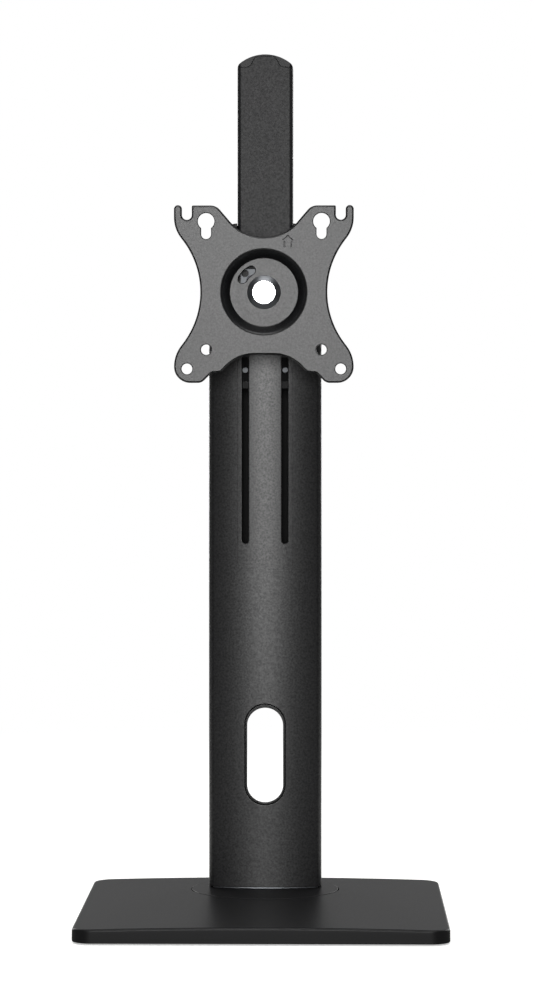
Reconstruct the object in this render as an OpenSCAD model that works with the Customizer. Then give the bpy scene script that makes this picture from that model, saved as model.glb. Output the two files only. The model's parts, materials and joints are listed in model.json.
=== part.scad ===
// Desk stand for one monitor. A low base carries a column that swivels, an arm slides up and down in
// the column on a gas spring, and the arm's head tilts and turns the screen plate.
// Millimetres. The front faces -Y, the desk is Z = 0, and the origin is under the middle of the base.
// The arm is drawn at the top of its travel.

/* [Base] */
// Width of the base
base_w = 235; // [225:1:300]
// Depth of the base
base_d = 224; // [216:1:300]
// Radius of the base's corners, seen from above
base_corner_r = 12; // [8:0.5:20]
// Rise of the cover's top from its side edges to its middle
base_crown = 1.8; // [1.6:0.1:5]
// Wall of the base cover
cover_wall = 2.2; // [1.5:0.1:3]
// Gap between the desk and the cover's rim
rim_gap = 1; // [0.6:0.1:1.4]
// Thickness of the ballast plate
ballast_t = 5.6; // [4:0.1:8]
// Gap between the ballast plate and the cover's wall
ballast_gap = 0.6; // [0.3:0.1:1.5]
// How far the feet hold the ballast plate off the desk
foot_h = 1.5; // [1.5:0.1:4]
// Radius of a foot
foot_r = 6; // [5:0.5:7]
// Distance of a foot's centre from the base's sides, front and back
foot_inset = 13; // [12.5:0.5:20]
// Depth of the recess that a foot sits in
foot_recess = 0.5; // [0.3:0.1:1]
// Distance of the cover's screws from the base's sides, front and back
screw_inset = 25; // [23:1:32]

/* [Swivel] */
// Distance of the swivel's axis from the back edge of the base
swivel_back = 53; // [52.5:0.5:70]
// Radius of the turntable's disc
disc_r = 48.8; // [47.5:0.1:49]
// Width of the seam about the disc
seam_w = 0.5; // [0.3:0.1:1]
// Radius of the swivel's hub
hub_r = 15; // [14:0.5:15.5]
// Thickness of the ring that the turntable runs on
swivel_ring_t = 0.8; // [0.5:0.1:1.5]
// Thickness of the turntable's steel plate
turntable_t = 2; // [1.5:0.1:2.5]
// Swivel to either side, in degrees
swivel_limit = 45; // [20:5:60]
// Distance of the stop pin from the swivel's axis
stop_pin_at = 40; // [39:0.5:41]
// Radius of the stop pin
stop_pin_r = 2; // [1.5:0.1:2.5]

/* [Column] */
// Width of the column
col_w = 75.4; // [74.5:0.1:78]
// Depth of the column
col_d = 41; // [40:0.5:44]
// How far the column's front lies ahead of the swivel's axis
col_ahead = 4; // [0:0.5:6]
// Height of the column's top above the desk
col_top = 455; // [440:1:465]
// Gap between the turntable's disc and the column's lower edge
col_gap = 0.8; // [0.4:0.1:1.5]
// Radius of the column's curved front
col_front_r = 120; // [100:1:300]
// Radius between the column's front and sides
col_corner_r = 5; // [3.5:0.1:6]
// Radius of the column's rear corners
col_rear_r = 14; // [10:0.5:16]
// Radius of the column's top corners, seen from the front
col_top_r = 20; // [12:0.5:24]
// Wall of the column's extruded shell
col_wall = 2.6; // [2:0.1:2.8]
// Wall of the column's rear cover
rear_wall = 2.4; // [1.8:0.1:2.8]
// Depth of the shell, from the column's front to the rear cover's joint
shell_d = 27; // [26.5:0.5:28]
// Thickness of the foot plate inside the column
foot_plate_t = 4; // [3:0.5:6]

/* [Guide slots and cable opening] */
// Distance of a guide slot's centreline from the middle
slot_at = 13.3; // [13:0.1:13.5]
// Width of a guide slot
slot_w = 4.3; // [4.2:0.1:5]
// Height of the slots' lower ends
slot_bottom = 241.8; // [236:0.1:242]
// Height where the slots open into the arm's notch
notch_bottom = 376; // [372:1:380]
// Depth of the shallow track on the column's front
track_depth = 0.5; // [0.2:0.1:0.8]
// Height of the track's lower end
track_bottom = 225; // [200:1:235]
// Width of the cable opening
cable_w = 27.1; // [24:0.1:30]
// Height of the cable opening's lower end
cable_bottom = 67.2; // [62:0.1:75]
// Height of the cable opening's upper end
cable_top = 134.8; // [110:0.1:135]

/* [Arm] */
// Width of the arm
arm_w = 37; // [36.5:0.1:37.5]
// Depth of the arm
arm_d = 24.5; // [24:0.1:25]
// Thickness of the arm's steel
arm_t = 2.5; // [2:0.1:3]
// Height of the arm's top above the desk
arm_top = 567.5; // [560:0.5:600]
// Height of the arm's lower end above the desk
arm_bottom = 345; // [342:0.5:348]
// Distance of the arm's front face behind the column's front
arm_back = 6.5; // [6.3:0.1:6.8]
// Radius of the arm's rounded top, seen from the front
arm_top_r = 27; // [24:0.5:40]
// Drop from the arm's top to the shoulders of its steel
shoulder_drop = 8.5; // [7.5:0.1:10]
// Width of the steel tongue at its top
tongue_w = 13; // [9:0.5:15]
// Travel of the arm
travel = 150; // [100:1:150]

/* [Gas spring] */
// Radius of the pressure tube
tube_r = 11; // [10:0.1:11.3]
// Wall of the pressure tube
tube_wall = 1.5; // [1:0.1:2]
// Radius of the piston rod
rod_r = 4; // [3:0.1:5]
// Height of the lower pin
lower_pin_z = 148.5; // [147.5:0.5:150]
// Height of the tube's upper end
tube_top = 372; // [368:1:376]
// Height of the upper pin
upper_pin_z = 545; // [535:0.5:547]
// Radius of both pins
pin_r = 4; // [3:0.1:4.5]

/* [Head] */
// Height of the head's centre above the desk
head_z = 407.5; // [404:0.5:409]
// Distance of the screen plate's front from the column's front
reach = 50; // [49:0.5:56]
// Distance of the tilt axis from the column's front
tilt_ahead = 22.5; // [22:0.5:23.5]
// Radius of the tilt bolt
tilt_bolt_r = 4; // [3:0.1:4.5]
// Radius of the tilt block's round end and of the bracket's ears
block_r = 11; // [10:0.1:12]
// Half width of the tilt block
block_hw = 11.8; // [11.5:0.1:12]
// Thickness of a tilt washer
tilt_washer_t = 1; // [0.6:0.1:1.5]
// Thickness of the bracket's ears
ear_t = 3.5; // [3:0.1:4]
// Thickness of the bracket's legs
leg_t = 3.4; // [3:0.1:3.5]
// Radius of the bright flange
flange_r = 21; // [20:0.1:21.5]
// Thickness of the bright flange
flange_t = 3; // [2.5:0.1:4]
// Radius of the pivot tube
pivot_r = 7.25; // [6.5:0.05:7.6]
// Radius of the pivot tube's swaged end
swage_r = 7.95; // [7.9:0.05:8.6]
// Radius of the black washer about the pivot
pivot_washer_r = 11; // [10:0.1:12]

/* [Screen plate] */
// Hole spacing of the larger screen pattern
vesa_large = 100; // [100:1:102]
// Hole spacing of the smaller screen pattern
vesa_small = 75; // [74:1:76]
// Radius of the lower, outer holes
hole_r = 3.5; // [3:0.05:3.8]
// Radius of the lower, inner holes
inner_hole_r = 3.35; // [3:0.05:3.6]
// Half width of the notches and of the keyholes' slots
hook_r = 3.2; // [2.8:0.05:3.3]
// Radius of a keyhole's large end
key_r = 5.4; // [5:0.1:5.8]
// Height of a keyhole's large end above its screw seat
key_rise = 8.3; // [7.5:0.1:9]
// Thickness of the screen plate's steel
plate_t = 2.4; // [1.6:0.1:3]
// Distance of the plate's sides from the outer holes' centres
plate_rim = 8.4; // [8:0.1:9]
// Distance of the plate's lower edge from the lower, outer holes' centres
lobe_drop = 9.1; // [8.5:0.1:10]
// Radius of the plate's lower corners
lobe_r = 10.5; // [9:0.1:10.7]
// Half width of the plate's waist
waist = 41.3; // [40:0.1:43]
// Radius of the plate's hollow sides
waist_r = 55; // [52:1:60]
// Height of the plate's upper edge above its centre, in the middle
dip = 35.5; // [34:0.1:37]
// Radius of the hollow in the plate's upper edge
dip_r = 29; // [28:0.5:30]
// Radius of the dish at the plate's front
dish_r = 27.9; // [27:0.1:29]
// Radius of the dish's floor
dish_floor_r = 22.5; // [22:0.1:23]
// Depth of the dish
dish_depth = 7.5; // [7:0.1:8]

/* [Fits] */
// Radial clearance of a pin or shaft that turns or slides in its bore
run_gap = 0.05; // [0.02:0.01:0.1]
// Clearance between pieces that slide past each other on flat faces
slide_gap = 0.25; // [0.15:0.01:0.3]
// Clearance between pieces that are fitted together and don't move
seat_gap = 0.2; // [0.1:0.01:0.3]

/* [Hidden] */
$fn = 64;
smooth = 256;
eps = 0.01;

black = "#1b1b1c";
plate_grey = "#606163";
strip_grey = "#3c3c3e";
steel = "#9a9c9f";
zinc = "#c9cac8";
acetal = "#e6e4dc";
rubber = "#101010";

// Base and swivel, from the desk up
ballast_z = foot_h;
ballast_top = ballast_z + ballast_t;
edge_z = ballast_top + 0.1 + cover_wall;
disc_top = edge_z + base_crown;
crown_r = (pow(base_w / 2, 2) + pow(base_crown, 2)) / (2 * base_crown);
swivel_y = base_d / 2 - swivel_back;
turntable_z = ballast_top + swivel_ring_t + run_gap;
turntable_top = turntable_z + turntable_t;
well_depth = 0.55 * ballast_t;
well_r = hub_r + 6;
retainer_t = 1.5;
lower_ring_t = well_depth - retainer_t - 0.35;
hub_bottom = ballast_z + well_depth - run_gap - lower_ring_t;
retainer_screw_at = 0.6 * hub_r;
cover_boss_r = 4;
small_screw_r = 1.5;
small_head_r = 2.8;
cover_screw_top = ballast_top + cover_wall - 1;
washer_head_r = 5.6;
washer_head_t = 1;

// Column, from its front to its back
front_y = swivel_y - col_ahead;
rear_y = front_y + col_d;
joint_y = front_y + shell_d;
// Where the centres of the front corners' arcs lie, tangent to the wide front arc
col_corner_y = front_y + col_front_r
    - sqrt(pow(col_front_r - col_corner_r, 2) - pow(col_w / 2 - col_corner_r, 2));
col_bottom = disc_top + col_gap;
shell_floor = turntable_top + foot_plate_t;
cap_h = 30;
cap_bottom = col_top - cap_h;
foot_tab_t = 3;
foot_tab_y = rear_y - rear_wall - 7.4;
foot_tab_top = shell_floor + 27;
rear_screw_zs = [shell_floor + 17, col_top - 15];
notch_gap = 0.4;
port_x = col_w / 2 - 8.5;
port_ys = [front_y + 9.5, front_y + 19.5];
port_r = 4;
port_bore_r = 1.9;
column_screw_r = port_bore_r - run_gap;
rib_t = 2;
rib_flange_x = col_w / 2 - 11;
rib_flange_d = 5;
rib_screw_x = rib_flange_x - 3;
rib_end = joint_y + 2;
liner_wall = 1.35;
liner_flare = 5.5;

// Arm and what runs in it
arm_y = front_y + arm_back;
arm_rear = arm_y + arm_d;
glide_t = 1.35;
rib_x = arm_w / 2 + glide_t + slide_gap;
glide_h = 32;
glide_screw_z = arm_bottom + 12.5;
glide_screw_r = 1.2;
glide_head_r = 1.9;
glide_head_h = 1.2;
glide_tab_t = 1.8;
shoulder_z = arm_top - shoulder_drop;
tongue_drop = 1.2;
tongue_slope = 4;
spring_y = arm_y + arm_t + 1 + tube_r;
tube_bottom = lower_pin_z + 10.5;
tube_end_t = 4;
rod_inside = 22;
rod_bottom = tube_top - rod_inside;
piston_rise = 10;
piston_h = 8;
eye_r = pin_r + 3;
spring_bracket_t = 2.5;
spring_bracket_h = 19;
spring_ear_t = 2.5;
spring_eye_hw = 6;

// Head, from the screen plate to the arm
plate_y = front_y - reach;
tilt_y = front_y - tilt_ahead;
floor_y = plate_y + dish_depth;
pivot_washer_t = 1.15;
friction_t = 0.95;
flange_y = floor_y + plate_t + friction_t + 2 * run_gap;
flange_screw_at = 8.3;
flange_screw_r = 1.6;
flange_screw_head_r = 3;
lock_hole_at = 12.4;
ear_x = block_hw + tilt_washer_t + 2 * run_gap;
ear_side = ear_x + ear_t;
hex_r = 1.85 * tilt_bolt_r;
spring_washer_t = 0.9;
bracket_y = front_y - 6;
bracket_t = 4.5;
bracket_h = 36;
tab_t = 2.3;
tab_y = arm_y - tab_t;
leg_gap = 0.45;
leg_h = 31;
leg_bottom = slot_bottom + slot_w / 2 + leg_gap + travel;
leg_top = leg_bottom + leg_h;
head_screw_x = 8;
head_screw_r = 2;
head_screw_zs = [leg_bottom + 7, leg_top - 9];

// A flat shape in X and Z, drawn between two depths
module along_y(y0, y1) {
    translate([0, y1, 0]) rotate([90, 0, 0]) linear_extrude(height = y1 - y0) children();
}

// A flat shape in X and Y, drawn between two heights
module along_z(z0, z1) {
    translate([0, 0, z0]) linear_extrude(height = z1 - z0) children();
}

// A rod along Y, from a point to a depth
module rod_y(x, z, r, y0, y1) {
    translate([x, y0, z]) rotate([-90, 0, 0]) cylinder(r = r, h = y1 - y0);
}

// A rod along X, through a point
module rod_x(y, z, r, x0, x1) {
    translate([x0, y, z]) rotate([0, 90, 0]) cylinder(r = r, h = x1 - x0);
}

// A rod along Z
module rod_z(x, y, r, z0, z1) {
    translate([x, y, z0]) cylinder(r = r, h = z1 - z0);
}

// A turned piece about the screen plate's axis, from its outline of radius and depth
module turned_y(outline) {
    translate([0, 0, head_z]) rotate([-90, 0, 0]) rotate_extrude($fn = 128) polygon(outline);
}

// A flat ring on the swivel's axis
module swivel_ring(r_in, r_out, z0, z1) {
    difference() {
        rod_z(0, swivel_y, r_out, z0, z1);
        rod_z(0, swivel_y, r_in, z0 - 1, z1 + 1);
    }
}

module both_sides() {
    children();
    mirror([1, 0, 0]) children();
}

module round_rect(w, d, r) {
    square([w - 2 * r, d], center = true);
    square([w, d - 2 * r], center = true);
    for (x = [-1, 1], y = [-1, 1]) translate([x * (w / 2 - r), y * (d / 2 - r)]) circle(r);
}

// An upright slot shape with round ends
module stadium(x, w, z0, z1) {
    translate([x - w / 2, z0 + w / 2]) square([w, z1 - z0 - w]);
    for (z = [z0 + w / 2, z1 - w / 2]) translate([x, z]) circle(w / 2);
}

function unit(v) = v / norm(v);

function arc(centre, r, a0, a1, n) =
    [for (i = [0:n]) centre + r * [cos(a0 + (a1 - a0) * i / n), sin(a0 + (a1 - a0) * i / n)]];

// The points of a round corner at b, between the straight runs to a and to c
function corner(a, b, c, r) = r == 0 ? [b] : let (
    u = unit(a - b),
    v = unit(c - b),
    half = acos(u * v) / 2,
    middle = b + unit(u + v) * r / sin(half),
    start = b + u * r / tan(half) - middle,
    end = b + v * r / tan(half) - middle,
    a0 = atan2(start[1], start[0]),
    turn = atan2(start[0] * end[1] - start[1] * end[0], start * end)
) arc(middle, r, a0, a0 + turn, 8);

function place(p) = [p[0], p[1]];

// A closed outline from its corners, each with its place and its radius
function rounded(corners) = let (n = len(corners)) [
    for (i = [0:n - 1]) each corner(place(corners[(i + n - 1) % n]), place(corners[i]),
        place(corners[(i + 1) % n]), corners[i][2])
];

function sharp(points) = [for (p = points) [p[0], p[1], 0]];

function mirrored(corners) = [for (i = [len(corners) - 1:-1:0]) [-corners[i][0], corners[i][1],
    corners[i][2]]];

// The space under the cover's crowned top, less a skin
module under_crown(skin) {
    translate([0, 0, edge_z + base_crown - crown_r]) rotate([90, 0, 0])
        cylinder(r = crown_r - skin, h = base_d + 20, center = true, $fn = 1440);
}

// The six screws that hold the cover on the ballast plate
module at_cover_screws() {
    for (x = [-1, 1], y = [-1, 0, 1])
        translate([x * (base_w / 2 - screw_inset), y * (base_d / 2 - screw_inset), 0]) children();
}

module at_feet() {
    for (x = [-1, 1], y = [-1, 1])
        translate([x * (base_w / 2 - foot_inset), y * (base_d / 2 - foot_inset), 0]) children();
}

module base_cover() {
    hole_edge = disc_r + seam_w;
    color(black) difference() {
        union() {
            difference() {
                intersection() {
                    along_z(rim_gap, disc_top + 1) round_rect(base_w, base_d, base_corner_r);
                    under_crown(0);
                }
                intersection() {
                    along_z(0, disc_top + 1) round_rect(base_w - 2 * cover_wall,
                        base_d - 2 * cover_wall, base_corner_r - cover_wall);
                    under_crown(cover_wall);
                }
            }
            intersection() {
                union() {
                    for (x = [-0.62, -0.31, 0.31, 0.62])
                        translate([x * base_w / 2 - 0.8, -base_d / 2 + 1, ballast_top + 0.2])
                            cube([1.6, base_d - 2, base_crown + cover_wall]);
                    swivel_ring(hole_edge, hole_edge + 1.6, ballast_top + 0.2, disc_top);
                    at_cover_screws() cylinder(r = cover_boss_r, h = disc_top);
                }
                under_crown(cover_wall / 2);
                along_z(ballast_z + 0.4, disc_top) round_rect(base_w - 1, base_d - 1, base_corner_r);
            }
        }
        rod_z(0, swivel_y, hole_edge, 0, disc_top + 5);
        at_cover_screws() cylinder(r = small_screw_r + run_gap, h = cover_screw_top + 0.3);
    }
}

module ballast_plate() {
    inset = cover_wall + ballast_gap;
    color(steel) difference() {
        along_z(ballast_z, ballast_top)
            round_rect(base_w - 2 * inset, base_d - 2 * inset, base_corner_r - inset);
        rod_z(0, swivel_y, hub_r + run_gap, 0, ballast_top + 1);
        rod_z(0, swivel_y, well_r, 0, ballast_z + well_depth);
        rod_z(0, swivel_y - stop_pin_at, stop_pin_r + run_gap, ballast_z + 1, ballast_top + 1);
        at_cover_screws() cylinder(r = cover_boss_r + 0.3, h = ballast_top + 1);
        at_feet() cylinder(r = foot_r + seat_gap, h = ballast_z + foot_recess);
    }
}

module rubber_feet() {
    soft_edge = 0.4;
    top = ballast_z + foot_recess;
    color(rubber) at_feet() rotate_extrude()
        polygon([[0, 0], [foot_r - soft_edge, 0], [foot_r, soft_edge], [foot_r, top], [0, top]]);
}

module base_screws() {
    color(steel) at_cover_screws() {
        translate([0, 0, ballast_z - washer_head_t]) cylinder(r = washer_head_r, h = washer_head_t);
        translate([0, 0, ballast_z - eps])
            cylinder(r = small_screw_r, h = cover_screw_top - ballast_z);
    }
}

module swivel_washer() {
    color(acetal) swivel_ring(hub_r + 1, stop_pin_at - stop_pin_r - 3, ballast_top,
        ballast_top + swivel_ring_t);
}

module swivel_stop_pin() {
    color(steel) rod_z(0, swivel_y - stop_pin_at, stop_pin_r, ballast_z + 1, turntable_top - 0.4);
}

// The four screws that hold the column down
module at_column_screws() {
    for (x = [-1, 1], y = port_ys) translate([x * port_x, y, 0]) children();
}

// A countersink that opens downwards at height 0
module countersink(r, head_r, depth) {
    translate([0, 0, -eps]) cylinder(r1 = head_r + eps, r2 = r, h = head_r - r + eps);
    translate([0, 0, -eps]) cylinder(r = r, h = depth);
}

// A countersunk screw whose flush head is at height 0
module sunk_screw(r, head_r, length) {
    cylinder(r1 = head_r, r2 = r, h = head_r - r);
    cylinder(r = r, h = length);
}

module at_retainer_screws() {
    for (a = [90, 210, 330])
        translate([retainer_screw_at * cos(a), swivel_y + retainer_screw_at * sin(a), 0]) children();
}

module stop_groove() {
    groove_r = stop_pin_r + 0.4;
    half = swivel_limit + 0.6;
    translate([0, swivel_y, turntable_z - 1]) {
        rotate([0, 0, -90 - half]) rotate_extrude(angle = 2 * half)
            translate([stop_pin_at - groove_r, 0]) square([2 * groove_r, turntable_t + 2]);
        for (a = [-half, half]) rotate([0, 0, -90 + a])
            translate([stop_pin_at, 0, 0]) cylinder(r = groove_r, h = turntable_t + 2);
    }
}

module turntable_plate() {
    color(steel) difference() {
        union() {
            rod_z(0, swivel_y, disc_r - 1.4, turntable_z, turntable_top);
            rod_z(0, swivel_y, hub_r, hub_bottom, turntable_z + eps);
        }
        stop_groove();
        at_column_screws() translate([0, 0, turntable_z])
            countersink(column_screw_r + 0.3, column_screw_r + 1.9, turntable_t + 1);
        at_retainer_screws() translate([0, 0, hub_bottom - 1])
            cylinder(r = small_screw_r + run_gap, h = turntable_top - hub_bottom);
    }
}

module foot_window(gap) {
    intersection() {
        along_z(turntable_top - 1, disc_top + 1) column_plan(col_wall - gap);
        along_z(turntable_top - 1, disc_top + 1)
            translate([-col_w / 2, front_y]) square([col_w, col_d]);
    }
}

module turntable_cap() {
    skirt = turntable_z + 0.8;
    soft_edge = 0.4;
    color(black) difference() {
        translate([0, swivel_y, 0]) rotate_extrude($fn = smooth) polygon([
            [0, turntable_top], [disc_r - 1.2, turntable_top], [disc_r - 1.2, skirt], [disc_r, skirt],
            [disc_r, disc_top - soft_edge], [disc_r - soft_edge, disc_top], [0, disc_top]
        ]);
        foot_window(seat_gap);
    }
}

module retainer_washer() {
    color(acetal) swivel_ring(hub_r + run_gap, well_r - 1, hub_bottom, hub_bottom + lower_ring_t);
}

module swivel_retainer() {
    color(steel) difference() {
        rod_z(0, swivel_y, well_r - 0.6, hub_bottom - retainer_t, hub_bottom);
        at_retainer_screws() translate([0, 0, hub_bottom - retainer_t])
            countersink(small_screw_r + run_gap, small_head_r + run_gap, retainer_t + 1);
    }
}

module retainer_screws() {
    color(steel) at_retainer_screws() translate([0, 0, hub_bottom - retainer_t])
        sunk_screw(small_screw_r, small_head_r, retainer_t + 3.5);
}

// The column seen from above, drawn in by a wall
module column_plan(wall) {
    half = col_w / 2;
    tangent_x = (half - col_corner_r) / (col_front_r - col_corner_r) * (col_front_r - wall);
    intersection() {
        translate([0, front_y + col_front_r]) circle(col_front_r - wall, $fn = 2 * smooth);
        translate([-tangent_x, front_y - 1]) square([2 * tangent_x, col_d / 2]);
    }
    for (x = [-1, 1]) {
        translate([x * (half - col_corner_r), col_corner_y]) circle(col_corner_r - wall);
        translate([x * (half - col_rear_r), rear_y - col_rear_r]) circle(col_rear_r - wall);
    }
    translate([-half + wall, col_corner_y])
        square([2 * (half - wall), rear_y - col_rear_r - col_corner_y]);
    translate([-half + col_rear_r, col_corner_y])
        square([2 * (half - col_rear_r), rear_y - wall - col_corner_y]);
}

// The column seen from the front, with its rounded top corners
module column_face(inset) {
    half = col_w / 2 - inset;
    r = col_top_r - inset;
    top = col_top - inset;
    translate([-half, col_bottom - 5]) square([2 * half, top - r - col_bottom + 5]);
    translate([-half + r, col_bottom - 5]) square([2 * (half - r), top - col_bottom + 5]);
    for (x = [-1, 1]) translate([x * (half - r), top - r]) circle(r);
}

// The walls, ribs and screw ports of the extruded shell
module shell_plan() {
    difference() {
        column_plan(0);
        column_plan(col_wall);
        translate([-col_w, joint_y]) square([2 * col_w, col_d]);
    }
    both_sides() {
        translate([rib_x, front_y + col_wall]) square([rib_t, rib_end - front_y - col_wall]);
        translate([rib_x, rib_end - rib_flange_d])
            square([rib_flange_x - rib_x, rib_flange_d]);
        for (y = port_ys) difference() {
            union() {
                translate([port_x, y]) circle(port_r);
                translate([port_x, y - 1]) square([col_w / 2 - port_x - 1, 2]);
            }
            translate([port_x, y]) circle(port_bore_r);
        }
    }
}

module front_track() {
    along_z(track_bottom, col_top + 1) intersection() {
        difference() {
            translate([0, front_y + col_front_r]) circle(col_front_r + 3, $fn = 2 * smooth);
            translate([0, front_y + col_front_r])
                circle(col_front_r - track_depth, $fn = 2 * smooth);
        }
        translate([-arm_w / 2, front_y - 5]) square([arm_w, 10]);
    }
}

module column_shell() {
    wall_back = front_y + col_wall + 4;
    color(black) difference() {
        intersection() {
            along_z(col_bottom, col_top) shell_plan();
            along_y(front_y - 5, rear_y) column_face(0);
        }
        // The foot plate and the cap take the ends of the ribs and ports
        along_z(col_bottom - 1, shell_floor) column_plan(col_wall);
        along_z(cap_bottom, col_top + 1) column_plan(col_wall);
        along_y(front_y - 5, wall_back) {
            translate([-arm_w / 2 - notch_gap, notch_bottom])
                square([arm_w + 2 * notch_gap, col_top]);
            for (x = [-slot_at, slot_at]) stadium(x, slot_w, slot_bottom, notch_bottom + slot_w);
            stadium(0, cable_w, cable_bottom, cable_top);
        }
        front_track();
        for (x = [-1, 1]) rod_y(x * rib_screw_x, lower_pin_z, small_screw_r + run_gap,
            rib_end - rib_flange_d - 1, rib_end + 1);
    }
}

module rear_cover() {
    tongue_t = 1.8;
    boss_r = 4;
    bearings = [foot_tab_y + foot_tab_t + seat_gap, rear_y - rear_wall - 0.3];
    color(black) difference() {
        union() {
            intersection() {
                along_z(col_bottom, col_top) difference() {
                    column_plan(0);
                    column_plan(rear_wall);
                    translate([-col_w, joint_y - 100]) square([2 * col_w, 100 + seat_gap]);
                }
                along_y(front_y - 5, rear_y + 1) column_face(0);
            }
            // Tongues that slip inside the shell's sides
            both_sides() translate([col_w / 2 - col_wall - seat_gap - tongue_t, joint_y - 2,
                shell_floor + 1])
                cube([tongue_t, 6, cap_bottom - shell_floor - 2]);
            both_sides() translate([col_w / 2 - col_wall - seat_gap - tongue_t, joint_y + seat_gap,
                shell_floor + 1])
                cube([tongue_t + col_wall, 3.8, cap_bottom - shell_floor - 2]);
            rod_y(0, rear_screw_zs[0], boss_r, bearings[0], rear_y - rear_wall / 2);
        }
        along_y(rear_y - rear_wall - 5, rear_y + 1)
            stadium(0, cable_w + 1.6, cable_bottom - liner_flare + liner_wall,
                cable_top + 1.7 - liner_wall);
        for (i = [0, 1]) {
            rod_y(0, rear_screw_zs[i], small_screw_r + run_gap, bearings[i] - 6, rear_y + 1);
            translate([0, rear_y, rear_screw_zs[i]]) rotate([90, 0, 0])
                cylinder(r1 = 2 * small_screw_r + run_gap, r2 = small_screw_r + run_gap,
                    h = small_screw_r);
        }
    }
}

module foot_plate() {
    tab_hw = 10;
    color(steel) difference() {
        union() {
            along_z(turntable_top, shell_floor) column_plan(col_wall + seat_gap);
            translate([-tab_hw, foot_tab_y, turntable_top])
                cube([2 * tab_hw, foot_tab_t, foot_tab_top - turntable_top]);
        }
        at_column_screws() translate([0, 0, turntable_top - 1])
            cylinder(r = column_screw_r + 0.3, h = foot_plate_t + 2);
        rod_y(0, rear_screw_zs[0], small_screw_r + run_gap, foot_tab_y - 1,
            foot_tab_y + foot_tab_t + 1);
    }
}

module column_screws() {
    length = 26;
    color(steel) at_column_screws() translate([0, 0, turntable_z])
        sunk_screw(column_screw_r, column_screw_r + 1.6, length);
}

module cover_screws() {
    lengths = [11, 9];
    color(steel) for (i = [0, 1]) translate([0, rear_y - run_gap, rear_screw_zs[i]])
        rotate([90, 0, 0]) sunk_screw(small_screw_r, 2 * small_screw_r - 0.1, lengths[i]);
}

module cable_liner() {
    front = front_y + 1.2;
    behind_wall = front_y + col_wall + 1.1;
    back = rear_y - rear_wall;
    spigot = cable_w - 2 * seat_gap;
    bore = cable_w - 2 * seat_gap - 2 * liner_wall;
    z0 = cable_bottom + seat_gap;
    z1 = cable_top - seat_gap;
    color(rubber) difference() {
        union() {
            along_y(front, back - 1) stadium(0, spigot, z0, z1);
            along_y(behind_wall, back - 0.1) stadium(0, cable_w + 4, z0 - liner_flare - 1, z1 + 2.5);
        }
        along_y(front - 1, back) stadium(0, bore, z0 + liner_wall, z1 - liner_wall - 1);
        along_y(behind_wall + 2, back + 1)
            stadium(0, cable_w + 1.3, z0 - liner_flare + liner_wall, z1 + 1.7 - liner_wall);
    }
}

module column_cap() {
    cap_inset = 0.8;
    passage_hw = arm_w / 2 + slide_gap;
    color(black) difference() {
        intersection() {
            along_z(cap_bottom, col_top + 1) column_plan(col_wall + seat_gap);
            along_y(front_y - 1, rear_y + 1) column_face(cap_inset);
        }
        translate([-passage_hw, front_y - 5, cap_bottom - 1])
            cube([2 * passage_hw, arm_rear + slide_gap - front_y + 5, cap_h + 2]);
        // Relief at the shell's inner corners
        both_sides() translate([col_w / 2 - col_corner_r, front_y, cap_bottom - 1])
            cube([col_corner_r, col_corner_y - front_y, cap_h + 2]);
        rod_y(0, rear_screw_zs[1], small_screw_r + run_gap, arm_rear, rear_y);
    }
}

module gas_cylinder() {
    bore_r = tube_r - tube_wall;
    color(black) difference() {
        union() {
            rod_z(0, spring_y, tube_r, tube_bottom, tube_top);
            rod_z(0, spring_y, spring_eye_hw, lower_pin_z, tube_bottom + 1);
            rod_x(spring_y, lower_pin_z, eye_r, -spring_eye_hw, spring_eye_hw);
        }
        rod_x(spring_y, lower_pin_z, pin_r + run_gap, -spring_eye_hw - 1, spring_eye_hw + 1);
        rod_z(0, spring_y, bore_r, tube_bottom + tube_end_t, tube_top - tube_end_t + 0.5);
        rod_z(0, spring_y, rod_r + run_gap, tube_bottom + tube_end_t, tube_top + 1);
    }
}

module spring_bracket() {
    plate_y0 = rib_end;
    ear_x0 = spring_eye_hw + seat_gap;
    color(steel) difference() {
        union() {
            translate([-rib_flange_x, plate_y0, lower_pin_z - spring_bracket_h / 2])
                cube([2 * rib_flange_x, spring_bracket_t, spring_bracket_h]);
            both_sides() {
                translate([ear_x0, spring_y, lower_pin_z - eye_r])
                    cube([spring_ear_t, plate_y0 - spring_y + 1, 2 * eye_r]);
                rod_x(spring_y, lower_pin_z, eye_r, ear_x0, ear_x0 + spring_ear_t);
            }
        }
        rod_x(spring_y, lower_pin_z, pin_r + run_gap, -rib_x, rib_x);
        for (x = [-1, 1]) rod_y(x * rib_screw_x, lower_pin_z, small_screw_r + seat_gap,
            plate_y0 - 1, plate_y0 + spring_bracket_t + 1);
    }
}

module spring_bracket_screws() {
    head_y = rib_end + spring_bracket_t;
    head_h = 1.8;
    grip = 4;
    color(steel) for (x = [-rib_screw_x, rib_screw_x]) {
        rod_y(x, lower_pin_z, small_head_r, head_y, head_y + head_h);
        rod_y(x, lower_pin_z, small_screw_r, head_y - spring_bracket_t - grip, head_y + 1);
    }
}

module spring_pin() {
    half = spring_eye_hw + seat_gap + spring_ear_t + 1;
    color(zinc) rod_x(spring_y, lower_pin_z, pin_r, -half, half);
}

// The corners of the arm's steel, seen from the front: shoulders, then a tongue in the middle.
// The cap's recess is the same outline, larger by a gap.
function strip_corners(bottom, half, gap) = let (right = [
    [half, bottom, 0], [half, shoulder_z + gap, 0],
    [tongue_w / 2 + tongue_slope + gap, shoulder_z + gap, 3.4 - gap],
    [tongue_w / 2 + gap, arm_top - tongue_drop + gap, 3 + gap]
]) concat(right, mirrored(right));

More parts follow.
